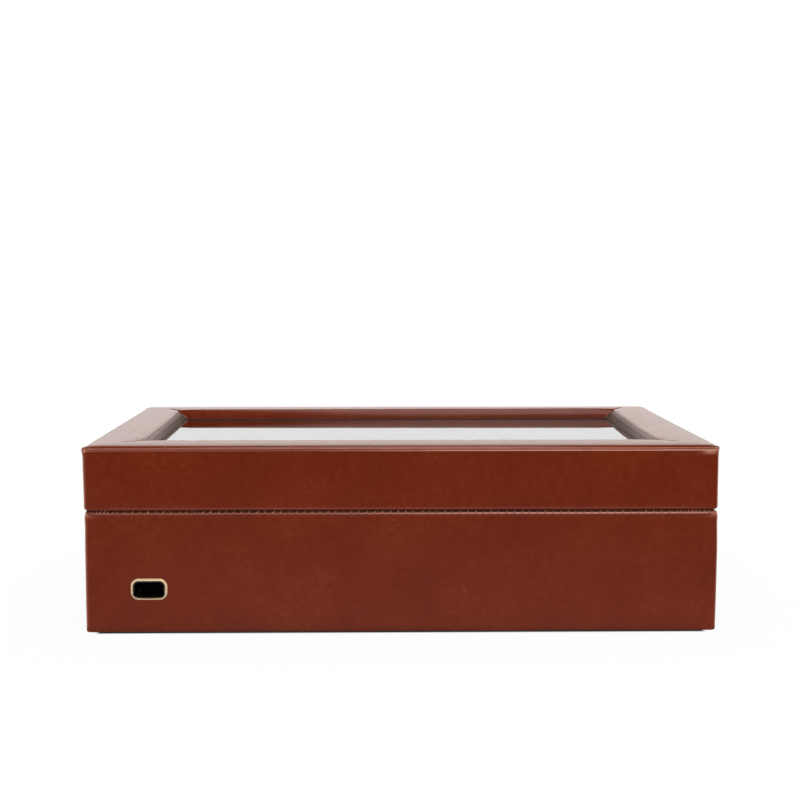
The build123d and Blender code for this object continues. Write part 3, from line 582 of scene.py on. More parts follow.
def opening_leather():
    """The leather that is turned in round the drawer's opening."""
    rows = [(2.0, -107.96)] + [(0.8 - 0.8 * math.sin(t), -107.2 - 0.8 * math.cos(t))
                               for t in np.linspace(0, math.pi / 2, 6)]
    rows += [(0.0, -105.0), (0.0, -101.0), (0.0, -97.0)]
    along, upright = np.linspace(-153, 153, 62), np.linspace(-10.4, 10.4, 6)
    layers = standing_loops(rows, (154.0, 11.4), 0.4, 0.2, DRAWER_MIDDLE,
                            (along, upright, along, upright), (140.0, 8.0))
    wear_and_highlight = 0.3 * bell(layers[..., 1] + 107.6, 0.4)
    return piece("opening_leather", layers, grid_faces(*layers.shape[:2]), leather, wear_and_highlight)


case_leather = thicken(case_leather_piece(), 0.9)
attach(case_leather, "case")
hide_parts("case_cover")
opening = thicken(opening_leather(), 0.7)
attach(opening, "case")


# Lid leather: a padded frame that rolls over into the window

def roll_profile():
    """The long bars: a tight roll, then an ever steeper slope down to the glass."""
    inset = np.linspace(24.0, 30.0, 241)
    lean = np.interp(inset, (24.0, 25.3, 26.1, 27.2, 28.6, 30.0), (89, 80, 50, 42, 32, 24))
    drop = np.concatenate([[0.0], np.cumsum(np.diff(inset) / np.tan(np.radians(lean[1:])))])
    return inset, 98.49 - drop * (98.49 - 92.66) / drop[-1]


# The side bars: a crisp crease where the leather is turned in, and a steep slope with a
# second, shallow crease in it
FOLDED = ((24.0, 98.48), (25.3, 98.44), (26.0, 98.34), (26.4, 98.16), (26.65, 97.9), (26.78, 97.6),
          (26.86, 97.42), (26.94, 97.48), (27.02, 97.46), (27.2, 97.28), (28.3, 96.02),
          (28.44, 95.78), (28.54, 95.66), (28.64, 95.66), (28.8, 95.44), (29.3, 94.44),
          (29.8, 93.2), (30.0, 92.66))


def lid_rows():
    """From the turned-in lower edge up the walls and over the padded frame to the window.
    Also which row is the first of the roll into the window."""
    rows = [(10.0, 65.2), (9.9, 64.5), (9.5, LID_BOTTOM), (6.9, LID_BOTTOM), (5.0, LID_BOTTOM)]
    rows += arc(SEAM_ROUND, LID_BOTTOM + SEAM_ROUND, SEAM_ROUND, -90, 0, 6)
    rows += [(0.0, z) for z in (67.2, 70.0, 74.0, 78.0, 82.0, 86.0, 90.0, 93.0, 94.6)]
    # The turned edge at the top: two ridges with a fine groove between, and the roll of the pad
    rows += [(0.0, 95.1), (-0.02, 95.35), (-0.10, 95.55), (-0.20, 95.75), (-0.22, 95.95),
             (-0.12, 96.12), (0.0, 96.24), (0.02, 96.4), (-0.04, 96.56), (-0.14, 96.72),
             (-0.22, 96.9), (-0.20, 97.08), (-0.06, 97.22), (0.12, 97.3), (0.34, 97.38),
             (0.62, 97.5), (0.95, 97.68), (1.35, 97.84), (1.9, 97.98),
             (2.6, 98.08), (3.6, 98.16), (5.0, 98.22), (7.0, 98.30), (9.5, 98.38),
             (12.5, 98.44), (16.0, 98.48), (20.0, 98.5), (23.0, 98.5)]
    insets = (24.0, 24.6, 25.0, 25.3, 25.55, 25.8, 26.0, 26.2, 26.4, 26.55, 26.65, 26.72, 26.78,
              26.86, 26.94, 27.02, 27.2, 27.6, 28.0, 28.3, 28.44, 28.54, 28.64, 28.8, 29.0, 29.2,
              29.4, 29.6, 29.8, 29.92, 30.0)
    first = len(rows)
    rows += list(zip(insets, np.interp(insets, *roll_profile())))
    return rows + [(29.6, 92.63)], first


def lid_wear_highlight_and_shade(x, y, z, inset, along, reach, side_bar):
    """How much wear and painted highlight the lid's leather has, and how much painted shade."""
    uneven = 0.8 + 0.2 * np.clip(wave(along, 53, ((29, 0.5), (11, 0.4), (5.3, 0.3))), -1, 1)
    right = smooth((60 - x) / 120)
    # Painted highlights on the turned edge and its two ridges
    wear_and_highlight = (0.1 + 0.06 * right) * smooth((z - 95.4) / 0.3) * smooth((97.25 - z) / 0.2)
    wear_and_highlight += uneven * (0.62 * bell(z - 96.95, 0.2) + (0.12 + 1.5 * right) * bell(z - 95.8, 0.22))
    wear_and_highlight = wear_and_highlight * (inset < 0.7) * (1 - 0.6 * side_bar)
    # Painted highlights on the corners and their rims, and a painted highlight spot beside each ear
    # at the back
    wear_and_highlight += 0.4 * bell(reach, 2.5) * bell(z - 96.6, 0.8) * (inset < 3)
    wear_and_highlight += 0.75 * corner_rim_highlight(x, y) * (z < 95.0)
    wear_and_highlight += 1.2 * bell(np.hypot(x - 163.4, z - 95.7), 0.55) * (y > 106)
    wear_and_highlight += 0.9 * bell(np.hypot((x + 160.5) / 3.2, (z - 95.0) / 0.55), 1.0) * (y > 106)
    # Painted shade at the edge at the glass, in the two creases and down the slope of the side bars
    painted_shade = 0.6 * smooth((inset - 29.5) / 0.4)
    painted_shade += side_bar * (1.0 * bell(inset - 26.83, 0.07)
                          + np.where(x < 0, 0.8, 0.3) * bell(inset - 28.52, 0.07))
    slope = smooth((inset - 26.85) / 0.15) * (0.34 + 0.46 * smooth((inset - 27.2) / 1.8))
    painted_shade += side_bar * slope * (0.7 + 0.5 * smooth((70 - y) / 110))
    # Painted shade: a dark line along the outermost edge of the side bars
    edge = smooth((z - 96.6) / 0.2) * smooth((97.42 - z) / 0.1) * (inset < 1.0)
    painted_shade += 0.85 * side_bar * edge
    return np.clip(wear_and_highlight, 0, 1.4), np.clip(painted_shade, 0, 1)


def lid_leather_piece():
    """The leather of the lid in one sheet, from the seam to the glass."""
    rows, first = lid_rows()
    long_side = side_places(HALF_X - CORNER, 4.0)
    front_side = side_places(HALF_X - CORNER, 4.0, CAM_ROOM)
    short_side = side_places(HALF_Y - CORNER, 4.0)

    def radius_of(inset):
        return max(CORNER - max(inset, 0), 0.45) if inset < 24 else 1.5

    layers = sweep(rows, (long_side, short_side, front_side, short_side), radius_of, (110.0, 50.0))
    x, y, z = (layers[..., k].copy() for k in range(3))
    # Where the cam of the lock comes up, the turned-in edge is cut away
    middle = (x[:3] + np.roll(x[:3], -1, axis=1)) / 2
    cut = np.zeros(x.shape, bool)
    cut[:3] = (y[:3] < -CAM_DEPTH) & (CAM_ROOM[0] < middle) & (middle < CAM_ROOM[1])
    inset = np.array([row[0] for row in rows])[:, None] + np.zeros_like(x)
    across = ((HALF_X - np.abs(x)) - (HALF_Y - np.abs(y))) / math.sqrt(2)
    side_bar = smooth((0.9 - across) / 1.8)
    folded = np.interp(inset[first:-1], *zip(*FOLDED))
    layers[first:-1, :, 2] += side_bar[first:-1] * (folded - z[first:-1])
    z = layers[..., 2].copy()
    along = np.where(across < 0, y + 400 * np.sign(x), x + 900 * np.sign(y))
    push = outward(layers)
    # The face bulges a little where the leather is pulled round the near corners
    face = smooth((z - 67) / 6) * smooth((95.4 - z) / 2.0)
    ripple = 0.05 * wave(x * 0.7 + y * 0.9 + z * 0.4, 5) * face
    reach = np.hypot(np.abs(x) - HALF_X, np.abs(y) - HALF_Y)
    corner = bell(reach, 8.0)
    amount = np.where(y > 0, np.where(x > 0, 1.0, 0.5), 0.6)
    bulge = corner * amount * (0.55 + 0.45 * smooth((z - 66) / 26)) * smooth((z - 64) / 2)
    ear = bell(reach, 3.0) * amount * 0.42 * smooth((z - 92.6) / 1.6) * smooth((97.0 - z) / 1.1)
    notch = -0.45 * corner * bell(z - 70.8, 0.5) * (x > 0) * (y > 0)
    # On the sides the turned edge stands out further than at the front and the back
    turned = bell(z - 96.5, 0.9) * (inset < 1.0)
    line = (0.05 * wave(along, 11) + 0.22 * smooth((2.0 - across) / 3.0)) * turned
    move = (ripple + bulge + ear + notch) * smooth((98.2 - z) / 0.8) + line
    layers[..., 0] += push[..., 0] * move + widening(x, y, z) * (inset < 12)
    layers[..., 1] += push[..., 1] * move
    # The edge and the roll into the window wander up and down a little
    layers[..., 2] += 0.08 * wave(along, 17) * bell(z - 96.5, 0.9) * (inset < 2)
    layers[..., 2] += 0.07 * wave(along, 23) * bell(inset - 26.2, 1.5)
    # The pad is low at the corners, beside the ears of the turned edge
    layers[..., 2] -= 1.1 * bell(reach, 4.0) * smooth((z - 97.15) / 0.5) * smooth(y / 50)
    # The leather is cut and folded at the corners of the window: a crease on each mitre
    diagonal = (np.abs(x) - (HALF_X - 26.0)) / 2 + (np.abs(y) - (HALF_Y - 26.0)) / 2
    crease = bell(across, 0.5) * np.where(diagonal > 0, bell(diagonal, 5.0), 1.0)
    crease = crease * smooth((inset - 15) / 6)
    layers[..., 2] -= 0.55 * crease * smooth((z - 92.8) / 1.0)
    # The far bar is padded a little higher than the near one
    higher = smooth((30 - y) / 110) * (0.35 - 0.25 * x / HALF_X)
    layers[..., 2] += higher * smooth((inset - 3) / 12) * smooth((z - 92.8) / 4.5)
    # Towards the front the side bars are pulled tighter and get narrower
    pulled = np.interp(y, (-84, -77, -38, 20, 70), (3.0, 2.9, 1.4, 0.5, 0.0))
    pulled = pulled * (1 - 0.7 * smooth((inset - 26.5) / 3.4))
    pulled = np.sign(x) * pulled * smooth((np.abs(x) - 98) / 36)
    layers[..., 0] += pulled * smooth((inset - 12) / 13)
    # Near the corners of the window the padding thins out
    layers[..., 2] -= 0.3 * bell(np.hypot(diagonal * 1.2, across * 0.7), 5.0) * (inset < 27)
    return piece("lid_leather", layers, grid_faces(*layers.shape[:2], cut), leather,
                 *lid_wear_highlight_and_shade(x, y, z, inset, along, reach, side_bar))


lid_leather = thicken(lid_leather_piece(), 0.8)
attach(lid_leather, "lid")
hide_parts("lid_cover", "lid_padding")


# Hinge: one strip of leather sewn along the seam. Its lower lip bulges between the stitches.

def stitch_places():
    """Where the stitches stand along the seam. Both ends are sewn back at half the pitch."""
    places = list(np.arange(-144.1, 149.5, STITCH_PITCH))
    half = STITCH_PITCH / 2
    places += list(places[-1] + half * np.arange(1, 7))
    places += list(places[0] - half * np.arange(1, 9))
    return np.array(sorted(places))


PLACES = stitch_places()


def hinge_piece():
    """The strip along the seam, bent inwards at the seam, where the two lips meet."""
    columns = np.linspace(-164.7, 164.7, 732)
    # Cross-section from below the seam to above it, (depth, height)
    section = [(107.93, 60.0), (108.03, 60.8), (108.09, 61.5), (108.16, 62.2), (108.20, 62.75),
               (108.18, 63.08), (108.06, 63.3), (107.78, 63.42), (107.20, 63.50), (106.6, 63.60),
               (105.9, 63.72), (105.2, 63.88), (105.0, 64.02), (105.2, 64.16), (105.9, 64.3),
               (106.6, 64.42), (107.2, 64.50), (107.7, 64.56), (107.95, 64.68), (108.05, 64.92),
               (108.06, 65.2), (108.05, 65.5), (108.02, 65.8), (107.92, 66.1), (107.74, 66.5)]
    section = np.array(section)
    gaps = np.diff(PLACES)
    index = np.clip(np.searchsorted(PLACES, columns) - 1, 0, len(gaps) - 1)
    phase = np.clip((columns - PLACES[index]) / gaps[index], 0, 1)
    belly = np.sin(math.pi * phase) ** 0.8
    end = smooth((164.9 - np.abs(columns)) / 1.6)
    points = np.zeros((len(section), len(columns), 3))
    for j, (depth, height) in enumerate(section):
        lower = bell(height - 62.85, 0.75) * (height < 64)
        upper = bell(height - 65.0, 0.7) * (height > 64)
        fade = 0.75 + 0.25 * np.clip(wave(columns, 41), -1, 1)
        y = depth + lower * (0.22 * belly * fade - 0.06) + upper * (0.08 * belly - 0.02)
        z = height - 0.1 * bell(height - 63.3, 0.4) * belly + 0.05 * wave(columns, 43)
        # At its ends the strip follows the round corner of the box
        round_corner = np.maximum(np.abs(columns) - 162.0, 0.0)
        y = y - (CORNER - np.sqrt(np.maximum(CORNER ** 2 - round_corner ** 2, 0.0)))
        y = y - (1 - end) * np.maximum(0, 1.6 - abs(height - SEAM)) * 0.5
        points[j, :, 0] = columns
        points[j, :, 1] = y
        points[j, :, 2] = z
    count = len(columns)
    faces = [(j * count + i + 1, j * count + i, (j + 1) * count + i, (j + 1) * count + i + 1)
             for j in range(len(section) - 1) for i in range(count - 1)]
    heights = section[:, 1][:, None] + np.zeros((1, count))
    # Painted highlight along the lower lip, stronger towards -X
    right = smooth((70 - columns) / 150)
    wear_and_highlight = bell(heights - 62.92, 0.4) * ((0.3 + 0.65 * right) * (0.6 + 0.4 * belly))[None, :]
    depths = section[:, 0][:, None] + np.zeros((1, count))
    # Painted shade in the slot between the two lips
    painted_shade = smooth((108.0 - depths) / 0.3) * (np.abs(heights - SEAM) < 0.9)
    return piece("hinge_leather", points, faces, hinge_leather, wear_and_highlight, painted_shade)


hinge = thicken(hinge_piece(), 0.3)
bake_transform(hinge)
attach(hinge, "case")
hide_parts("hinge_web")


# Stitches: waxed thread that comes out of the lower lip, rises and goes in under the upper

def stitch_form():
    """One stitch, thick where it leaves the lower lip and thin where it goes in above."""
    path = [(0.16, 107.75, 62.80, 0.34), (0.15, 108.20, 63.00, 0.52), (0.08, 108.32, 63.30, 0.36),
            (-0.02, 108.30, 63.58, 0.21), (-0.12, 108.20, 63.92, 0.14),
            (-0.22, 108.02, 64.28, 0.11), (-0.30, 107.7, 64.56, 0.10)]
    sides = 8
    points = []
    for x, y, z, thick in path:
        for k in range(sides):
            angle = 2 * math.pi * k / sides
            points.append((x + thick * math.cos(angle) * 1.15,
                           y + 0.55 * thick * math.sin(angle), z + 0.3 * thick * math.sin(angle)))
    return points, grid_faces(len(path), sides) + end_faces(len(path), sides)


def seam_tree():
    """Geometry nodes that set one stitch after another along the seam."""
    tree = bpy.data.node_groups.new("sewn_seam", "GeometryNodeTree")
    for label, way, kind in (("Geometry", "OUTPUT", "Geometry"), ("Stitch", "INPUT", "Geometry"),
                             ("Count", "INPUT", "Int"), ("First", "INPUT", "Float"),
                             ("Pitch", "INPUT", "Float"), ("Sloppiness", "INPUT", "Float"),
                             ("Thread", "INPUT", "Material")):
        tree.interface.new_socket(label, in_out=way, socket_type=f"NodeSocket{kind}")
    given = add(tree, "NodeGroupInput")
    start = add(tree, "ShaderNodeCombineXYZ", links={"X": given.outputs["First"]})
    step = add(tree, "ShaderNodeCombineXYZ", links={"X": given.outputs["Pitch"]})
    line = add(tree, "GeometryNodeMeshLine", mode="OFFSET",
               links={"Count": given.outputs["Count"], "Start Location": start.outputs[0],
                      "Offset": step.outputs[0]})
    jitter = add(tree, "FunctionNodeRandomValue",
                 {0: (-0.00022, -0.00003, -0.00006), 1: (0.00022, 0.00005, 0.00006), "Seed": 7},
                 data_type="FLOAT_VECTOR")
    amount = add(tree, "ShaderNodeVectorMath", operation="SCALE",
                 links={0: jitter.outputs[0], "Scale": given.outputs["Sloppiness"]})
    moved = add(tree, "GeometryNodeSetPosition",
                links={"Geometry": line.outputs[0], "Offset": amount.outputs[0]})
    size = add(tree, "FunctionNodeRandomValue",
               {0: (0.6, 1.0, 1.0), 1: (1.3, 1.0, 1.0), "Seed": 11}, data_type="FLOAT_VECTOR")
    row = add(tree, "GeometryNodeInstanceOnPoints",
              links={"Points": moved.outputs[0], "Instance": given.outputs["Stitch"],
                     "Scale": size.outputs[0]})
    # Each stitch leans a little its own way, about its foot on the lower lip
    lean = add(tree, "FunctionNodeRandomValue",
               {0: (0.0, -0.35, 0.0), 1: (0.0, 0.25, 0.0), "Seed": 3}, data_type="FLOAT_VECTOR")
    leaning = add(tree, "GeometryNodeRotateInstances", {"Pivot Point": (0.0, 0.108, 0.0629)},
                  {"Instances": row.outputs[0], "Rotation": lean.outputs[0]})
    real = add(tree, "GeometryNodeRealizeInstances", links={"Geometry": leaning.outputs[0]})
    dressed = add(tree, "GeometryNodeSetMaterial",
                  links={"Geometry": real.outputs[0], "Material": given.outputs["Thread"]})
    add(tree, "NodeGroupOutput", links={"Geometry": dressed.outputs[0]})
    return tree


SEAM_TREE = seam_tree()


def stitch_row(name, first, pitch, count, sloppiness):
    """A row of stitches as a plain mesh."""
    obj = piece(name, *stitch_form(), waxed_thread)
    sewing = obj.modifiers.new("sewing", "NODES")
    sewing.node_group = SEAM_TREE
    wanted = {"Count": count, "First": first * 0.001, "Pitch": pitch * 0.001,
              "Sloppiness": sloppiness, "Thread": waxed_thread}
    for item in SEAM_TREE.interface.items_tree:
        if item.in_out == "INPUT" and item.name in wanted:
            sewing[item.identifier] = wanted[item.name]
    return settle(obj)


def stitches_piece():
    """The row along the seam, and the two ends that are sewn back at half the pitch."""
    gaps = np.diff(PLACES)
    main = PLACES[:-1][gaps > STITCH_PITCH * 0.75]
    left = PLACES[PLACES > main[-1] + 0.1]
    other = PLACES[PLACES < main[0] - 0.1]
    rows = [
        stitch_row("stitches_main", main[0], STITCH_PITCH, len(main), 1.0),
        stitch_row("stitches_end_1", left[0], STITCH_PITCH / 2, len(left), 2.0),
        stitch_row("stitches_end_2", other[0], STITCH_PITCH / 2, len(other), 2.0),
    ]
    return join("hinge_stitches", rows, waxed_thread)


stitches = stitches_piece()
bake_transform(stitches)
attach(stitches, "case")


# Fittings

def port_band(rows, half):
    """A band round the hole of the port, from (outset, depth) rows. It faces the back."""
    along = np.linspace(-0.9, 0.9, 7) * (half[0] - PORT_CORNER)
    upright = np.linspace(-0.8, 0.8, 3) * (half[1] - PORT_CORNER)
    layers = standing_loops(rows, half, PORT_CORNER, 0.2, PORT_MIDDLE,
                            (along, upright, along, upright), half)
    return layers, other_way(grid_faces(*layers.shape[:2]))


def port_ring_piece():
    """A pressed ring: it slopes from a rim at the hole out to the leather."""
    rows = [(1.05, 107.7), (1.18, 107.9), (1.18, 108.15), (1.12, 108.4), (0.98, 108.6),
            (0.75, 108.8), (0.46, 108.92), (0.22, 108.98), (0.06, 108.92), (0.0, 108.75),
            (0.0, 107.5), (0.5, 107.4), (1.05, 107.7)]
    return piece("port_ring", *port_band(rows, PORT_HALF), satin_brass)


def port_sleeve_piece():
    """The sleeve's round lip sits low in the ring, and covers its inner rim at the bottom."""
    rows = [(-0.02, 98.0), (-0.02, 107.4)]
    rows += [(-0.45 + 0.45 * math.cos(t), 108.1 + 0.65 * math.sin(t))
             for t in np.linspace(0, math.pi, 9)]
    rows += [(-0.95, 107.4), (-1.0, 98.0), (-0.02, 98.0)]
    layers, faces = port_band(rows, (PORT_HALF[0] - 0.04, PORT_HALF[1]))
    low = smooth((22.6 - layers[..., 2]) / 2.4) * (layers[..., 1] > 107.6)
    out = layers[..., [0, 2]] - np.array(PORT_MIDDLE)
    out /= np.maximum(np.linalg.norm(out, axis=-1, keepdims=True), 1e-6)
    layers[..., 0] += 0.55 * out[..., 0] * low
    layers[..., 1] += 0.42 * low
    layers[..., 2] += 0.55 * out[..., 1] * low
    return piece("port_sleeve", layers, faces, sleeve_plastic)


def lathe(name, profile, middle, material, steps=72):
    """A turned piece about a line along Y. The profile is (radius, depth), from the back
    to the front of the box. It is a closed ring, or it starts and ends at the line."""
    points = []
    for radius, depth in profile:
        for k in range(steps):
            angle = 2 * math.pi * k / steps
            points.append((middle[0] + radius * math.cos(angle), depth,
                           middle[1] + radius * math.sin(angle)))
    faces = grid_faces(len(profile), steps)
    if profile[0] != profile[-1]:
        faces += end_faces(len(profile), steps)
    return piece(name, points, faces, material)


def knob_piece():
    """A knob turned in one piece: a foot on the leather, a waist and a flat round head."""
    profile = [(0.1, -108.0), (5.4, -108.0), (5.85, -108.1), (6.0, -108.35), (6.0, -108.85),
               (5.85, -109.1), (5.5, -109.22), (5.0, -109.35), (4.4, -109.75), (3.85, -110.5),
               (3.5, -111.6), (3.4, -113.0), (3.42, -114.0), (3.6, -114.35), (4.2, -114.6),
               (5.2, -114.95), (6.3, -115.6), (7.1, -116.5), (7.45, -117.5), (7.5, -118.2),
               (7.3, -119.2), (6.7, -120.2), (5.7, -121.0), (4.4, -121.55), (2.8, -121.87),
               (1.2, -121.98), (0.1, -122.0)]
    return lathe("drawer_knob_turned", profile, DRAWER_MIDDLE, brass)


def rosette_piece():
    """A turned ring round the barrel of the lock, with a low bead at its inner edge."""
    profile = [(6.02, -108.02), (7.9, -108.02), (8.3, -108.06), (8.5, -108.25), (8.5, -108.5),
               (8.35, -108.72), (8.05, -108.85), (7.8, -108.88), (7.62, -108.95), (7.5, -109.1),
               (7.3, -109.19), (6.5, -109.2), (6.2, -109.16), (6.05, -109.05), (6.02, -108.8),
               (6.02, -108.02)]
    return lathe("lock_rosette", profile, LOCK_MIDDLE, brass)


port_ring = port_ring_piece()
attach(port_ring, "case")
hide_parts("cable_port_ring")
port_sleeve = port_sleeve_piece()
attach(port_sleeve, "case")
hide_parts("cable_port_sleeve")
knob = knob_piece()
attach(knob, "drawer")
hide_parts("drawer_knob")
rosette = rosette_piece()
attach(rosette, "case")
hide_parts("lock_escutcheon")


# Drawer front: leather drawn tight over the board, with softly rounded edges

def drawer_face_piece():
    """From behind the drawer's front round its edges to the middle of the face."""
    half, corner = (153.2, 10.9), 1.2
    rows = [(-6.0, -99.98), (-0.8, -99.98), (-0.2, -100.3), (0.0, -101.0), (0.0, -103.5),
            (0.0, -106.0)]
    rows += [(-1.6 * (1 - math.cos(t)), -106.4 - 1.6 * math.sin(t))
             for t in np.linspace(0.15, math.pi / 2, 7)]
    rows += [(-2.6, -108.02), (-4.4, -108.04), (-7.0, -108.05), (-9.8, -108.05)]
    along, upright = side_places(half[0] - corner, 5.0), np.linspace(-9.0, 9.0, 7)
    layers = standing_loops(rows, half, corner, 0.25, DRAWER_MIDDLE,
                            (along, upright, along, upright), (120.0, 0.5))
    flat = smooth((-layers[..., 1] - 104) / 3)
    layers[..., 1] += 0.03 * wave(layers[..., 0], 61) * flat
    faces = grid_faces(*layers.shape[:2])
    # The middle is closed by a strip between the upper and the lower side of the last ring,
    # and by one face at each end
    last = list(range(layers[..., 0].size))[-layers.shape[1]:]
    first_upper = CORNER_STEPS + 1
    first_lower = 3 * (CORNER_STEPS + 1) + len(along) + len(upright)
    upper = last[first_upper:][:len(along)]
    lower = last[first_lower:][:len(along)][::-1]
    faces += zip(upper, upper[1:], lower[1:], lower)
    faces.append(tuple(last[first_upper + len(along) - 1:first_lower + 1]))
    faces.append(tuple(last[first_lower + len(along) - 1:] + last[:first_upper + 1]))
    wear_and_highlight = 0.25 * bell(layers[..., 1] + 107.2, 0.6)
    return piece("drawer_face_leather", layers, faces, leather, wear_and_highlight)


drawer_face = drawer_face_piece()
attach(drawer_face, "drawer")
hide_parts("drawer_front_cover")


# Base felt: a pressed pad with a slightly uneven cut edge

def felt_piece():
    """A pad with a raised middle, which lies against the base inside the turned-in leather."""
    rows = [(8.0, 0.02), (5.6, 0.0), (5.15, 0.12), (5.0, 0.35), (5.0, 0.9), (5.15, 1.1),
            (5.7, 1.17), (12.3, 1.17), (12.4, 2.15), (16.0, 2.15)]
    side_x, side_y = np.linspace(-158, 158, 80), np.linspace(-101, 101, 52)
    layers = sweep(rows, (side_x, side_y, side_x, side_y), lambda inset: CORNER, (120.0, 60.0))
    x, y, z = (layers[..., k].copy() for k in range(3))
    cut = 0.12 * wave(x * 1.3 + y * 1.7, 71) * bell(z - 0.6, 0.6)
    layers[..., 0] += cut * np.sign(x) * (np.abs(x) > 155)
    layers[..., 1] += cut * np.sign(y) * (np.abs(y) > 98)
    grid = layers.shape[:2]
    return piece("base_felt_pad", layers, grid_faces(*grid) + end_faces(*grid), felt)


base_felt = felt_piece()
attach(base_felt, "case")
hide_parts("base_pad")


# Tray dividers: thin boards in suede, folded over the top

def wrapped_board(name, start, end, along_x, across):
    """A board 3 mm thick between two ends, with a round top edge."""
    half, bottom, top = 1.5, 35.7, 61.7
    profile = [(-half, bottom), (-half, 48.0), (-half, 60.2)]
    profile += [(-half * math.cos(t), top - half + half * math.sin(t))
                for t in np.linspace(0.2, math.pi - 0.2, 9)]
    profile += [(half, 60.2), (half, 48.0), (half, bottom)]
    count = max(2, int(abs(end - start) / 6)) + 1
    points = []
    for place in np.linspace(start, end, count):
        for side, height in profile:
            nap = 0.06 * math.sin(place * 0.35 + height * 0.2)
            offset = across + side * (1 + nap * 0.3)
            points.append((place, offset, height) if along_x else (offset, place, height))
    faces = grid_faces(count, len(profile)) + end_faces(count, len(profile))
    return piece(name, points, other_way(faces) if along_x else faces, suede)


long_divider = wrapped_board("tray_divider_long", -149.5, 149.5, True, 0.0)
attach(long_divider, "case")
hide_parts("divider_long")
cross_boards = join("tray_dividers_cross", [
    wrapped_board(f"cross_{number}_{start > 0}", start, end, False, (number - 2) * CELL_PITCH)
    for number in range(5) for start, end in ((-96.5, -1.4), (1.4, 96.5))], suede)
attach(cross_boards, "case")
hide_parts("cross_dividers")


# Pillows: foam in a sewn suede cover. Two covers are filled by simulation, and each of the
# twelve pillows is made from one of them, with seams and puckers of its own.

def blown_up(obj, frames, cap):
    """Fills a closed cover as a cloth under pressure. No point may move further than cap."""
    before = np.array([v.co for v in obj.data.vertices])
    cloth = obj.modifiers.new("filling", "CLOTH")
    settings = cloth.settings
    settings.quality = 6
    settings.mass = 0.2
    settings.tension_stiffness = 12
    settings.compression_stiffness = 12
    settings.shear_stiffness = 5
    settings.bending_stiffness = 0.6
    settings.use_pressure = True
    settings.uniform_pressure_force = 4.0
    settings.effector_weights.gravity = 0.0
    cloth.point_cache.frame_start = 1
    cloth.point_cache.frame_end = frames
    for number in range(1, frames + 1):
        scene.frame_set(number)
    evaluated = obj.evaluated_get(bpy.context.evaluated_depsgraph_get())
    after = np.array([v.co for v in evaluated.data.vertices])
    obj.modifiers.remove(cloth)
    scene.frame_set(1)
    move = after - before
    length = np.linalg.norm(move, axis=1, keepdims=True)
    move *= np.minimum(1.0, cap / np.maximum(length, 1e-9))
    obj.data.vertices.foreach_set("co", (before + move).astype(np.float32).reshape(-1))
    obj.data.update()


def pillow_cover(seed):
    """A closed cover, slightly smaller than the pillow, round in the plane of the strap."""
    half_x, half_y, half_z, round_by = 19.4, 38.5, 17.2, 14.5
    along, upright = np.linspace(-20, 20, 9), np.linspace(-2, 2, 2)
    outline = ring(half_y, half_z, round_by, (half_y - round_by, half_z - round_by),
                   (along, upright, along, upright), (100.0, 100.0))
    slices = [(-half_x, 0.90), (-half_x + 1.2, 0.97), (-half_x + 3.0, 1.0)]
    slices += [(x, 1.0) for x in np.linspace(-half_x + 7, half_x - 7, 7)]
    slices += [(half_x - 3.0, 1.0), (half_x - 1.2, 0.97), (half_x, 0.90)]
    points = [(x, y * scale, z * scale) for x, scale in slices for y, z in outline]
    grid = (len(slices), len(outline))
    faces = other_way(grid_faces(*grid) + end_faces(*grid))
    cover = piece(f"pillow_cover_{seed}", points, faces, pillow_suede)
    fine = cover.modifiers.new("remesh", "REMESH")
    fine.mode = "VOXEL"
    fine.voxel_size = 0.004 + 0.0002 * seed
    settle(cover)
    blown_up(cover, 20, 0.006)
    round_off = cover.modifiers.new("round", "SUBSURF")
    round_off.levels = 2
    round_off.render_levels = 2
    return settle(cover)


def dressed_pillow(cover, seed):
    """Points of one pillow in its own frame: its size, the seams and the puckers by them."""
    p = np.array([v.co for v in cover.data.vertices]) * 1000
    low, high = p.min(0), p.max(0)
    p = (p - (low + high) / 2) / ((high - low) / 2) * np.array(PILLOW_HALF)
    rng = np.random.default_rng(100 + seed)
    x, y, z = p[:, 0].copy(), p[:, 1].copy(), p[:, 2].copy()
    around = np.arctan2(z / PILLOW_HALF[2], y / PILLOW_HALF[1])
    reach = np.hypot(y / PILLOW_HALF[1], z / PILLOW_HALF[2])
    normal = np.column_stack([np.zeros_like(x), y / PILLOW_HALF[1] ** 2, z / PILLOW_HALF[2] ** 2])
    normal /= np.maximum(np.linalg.norm(normal, axis=1, keepdims=True), 1e-9)
    side = np.abs(x) - 18.2
    seam = bell(side, 0.9) * smooth((reach - 0.6) / 0.2)
    pucker = 0.6 * np.sin(around * 23 + rng.uniform(0, 6))
    pucker += 0.4 * np.sin(around * 37 + rng.uniform(0, 6))
    puckers = 0.35 * pucker * bell(side + 2.5, 3.0) * smooth((reach - 0.6) / 0.2)
    hollow = 0.5 * np.sin(around * 2 + rng.uniform(0, 6)) * smooth((reach - 0.6) / 0.3)
    shift = -0.9 * seam + puckers - 0.25 - 0.25 * hollow
    p += normal * shift[:, None]
    p[:, 0] += 0.4 * np.sin(y / 17 + rng.uniform(0, 6)) * (1 - (x / PILLOW_HALF[0]) ** 2)
    ends = smooth((np.abs(x) - 19.5) / 2.0)
    p[:, 0] -= np.sign(x) * ends * (0.5 * (1 + np.sin(y / 6.5 + z / 9.0 + rng.uniform(0, 6))) * 0.5)
    # It rests on the floor of the tray
    p[:, 2] = np.maximum(p[:, 2], -PILLOW_HALF[2] + 0.05)
    return p


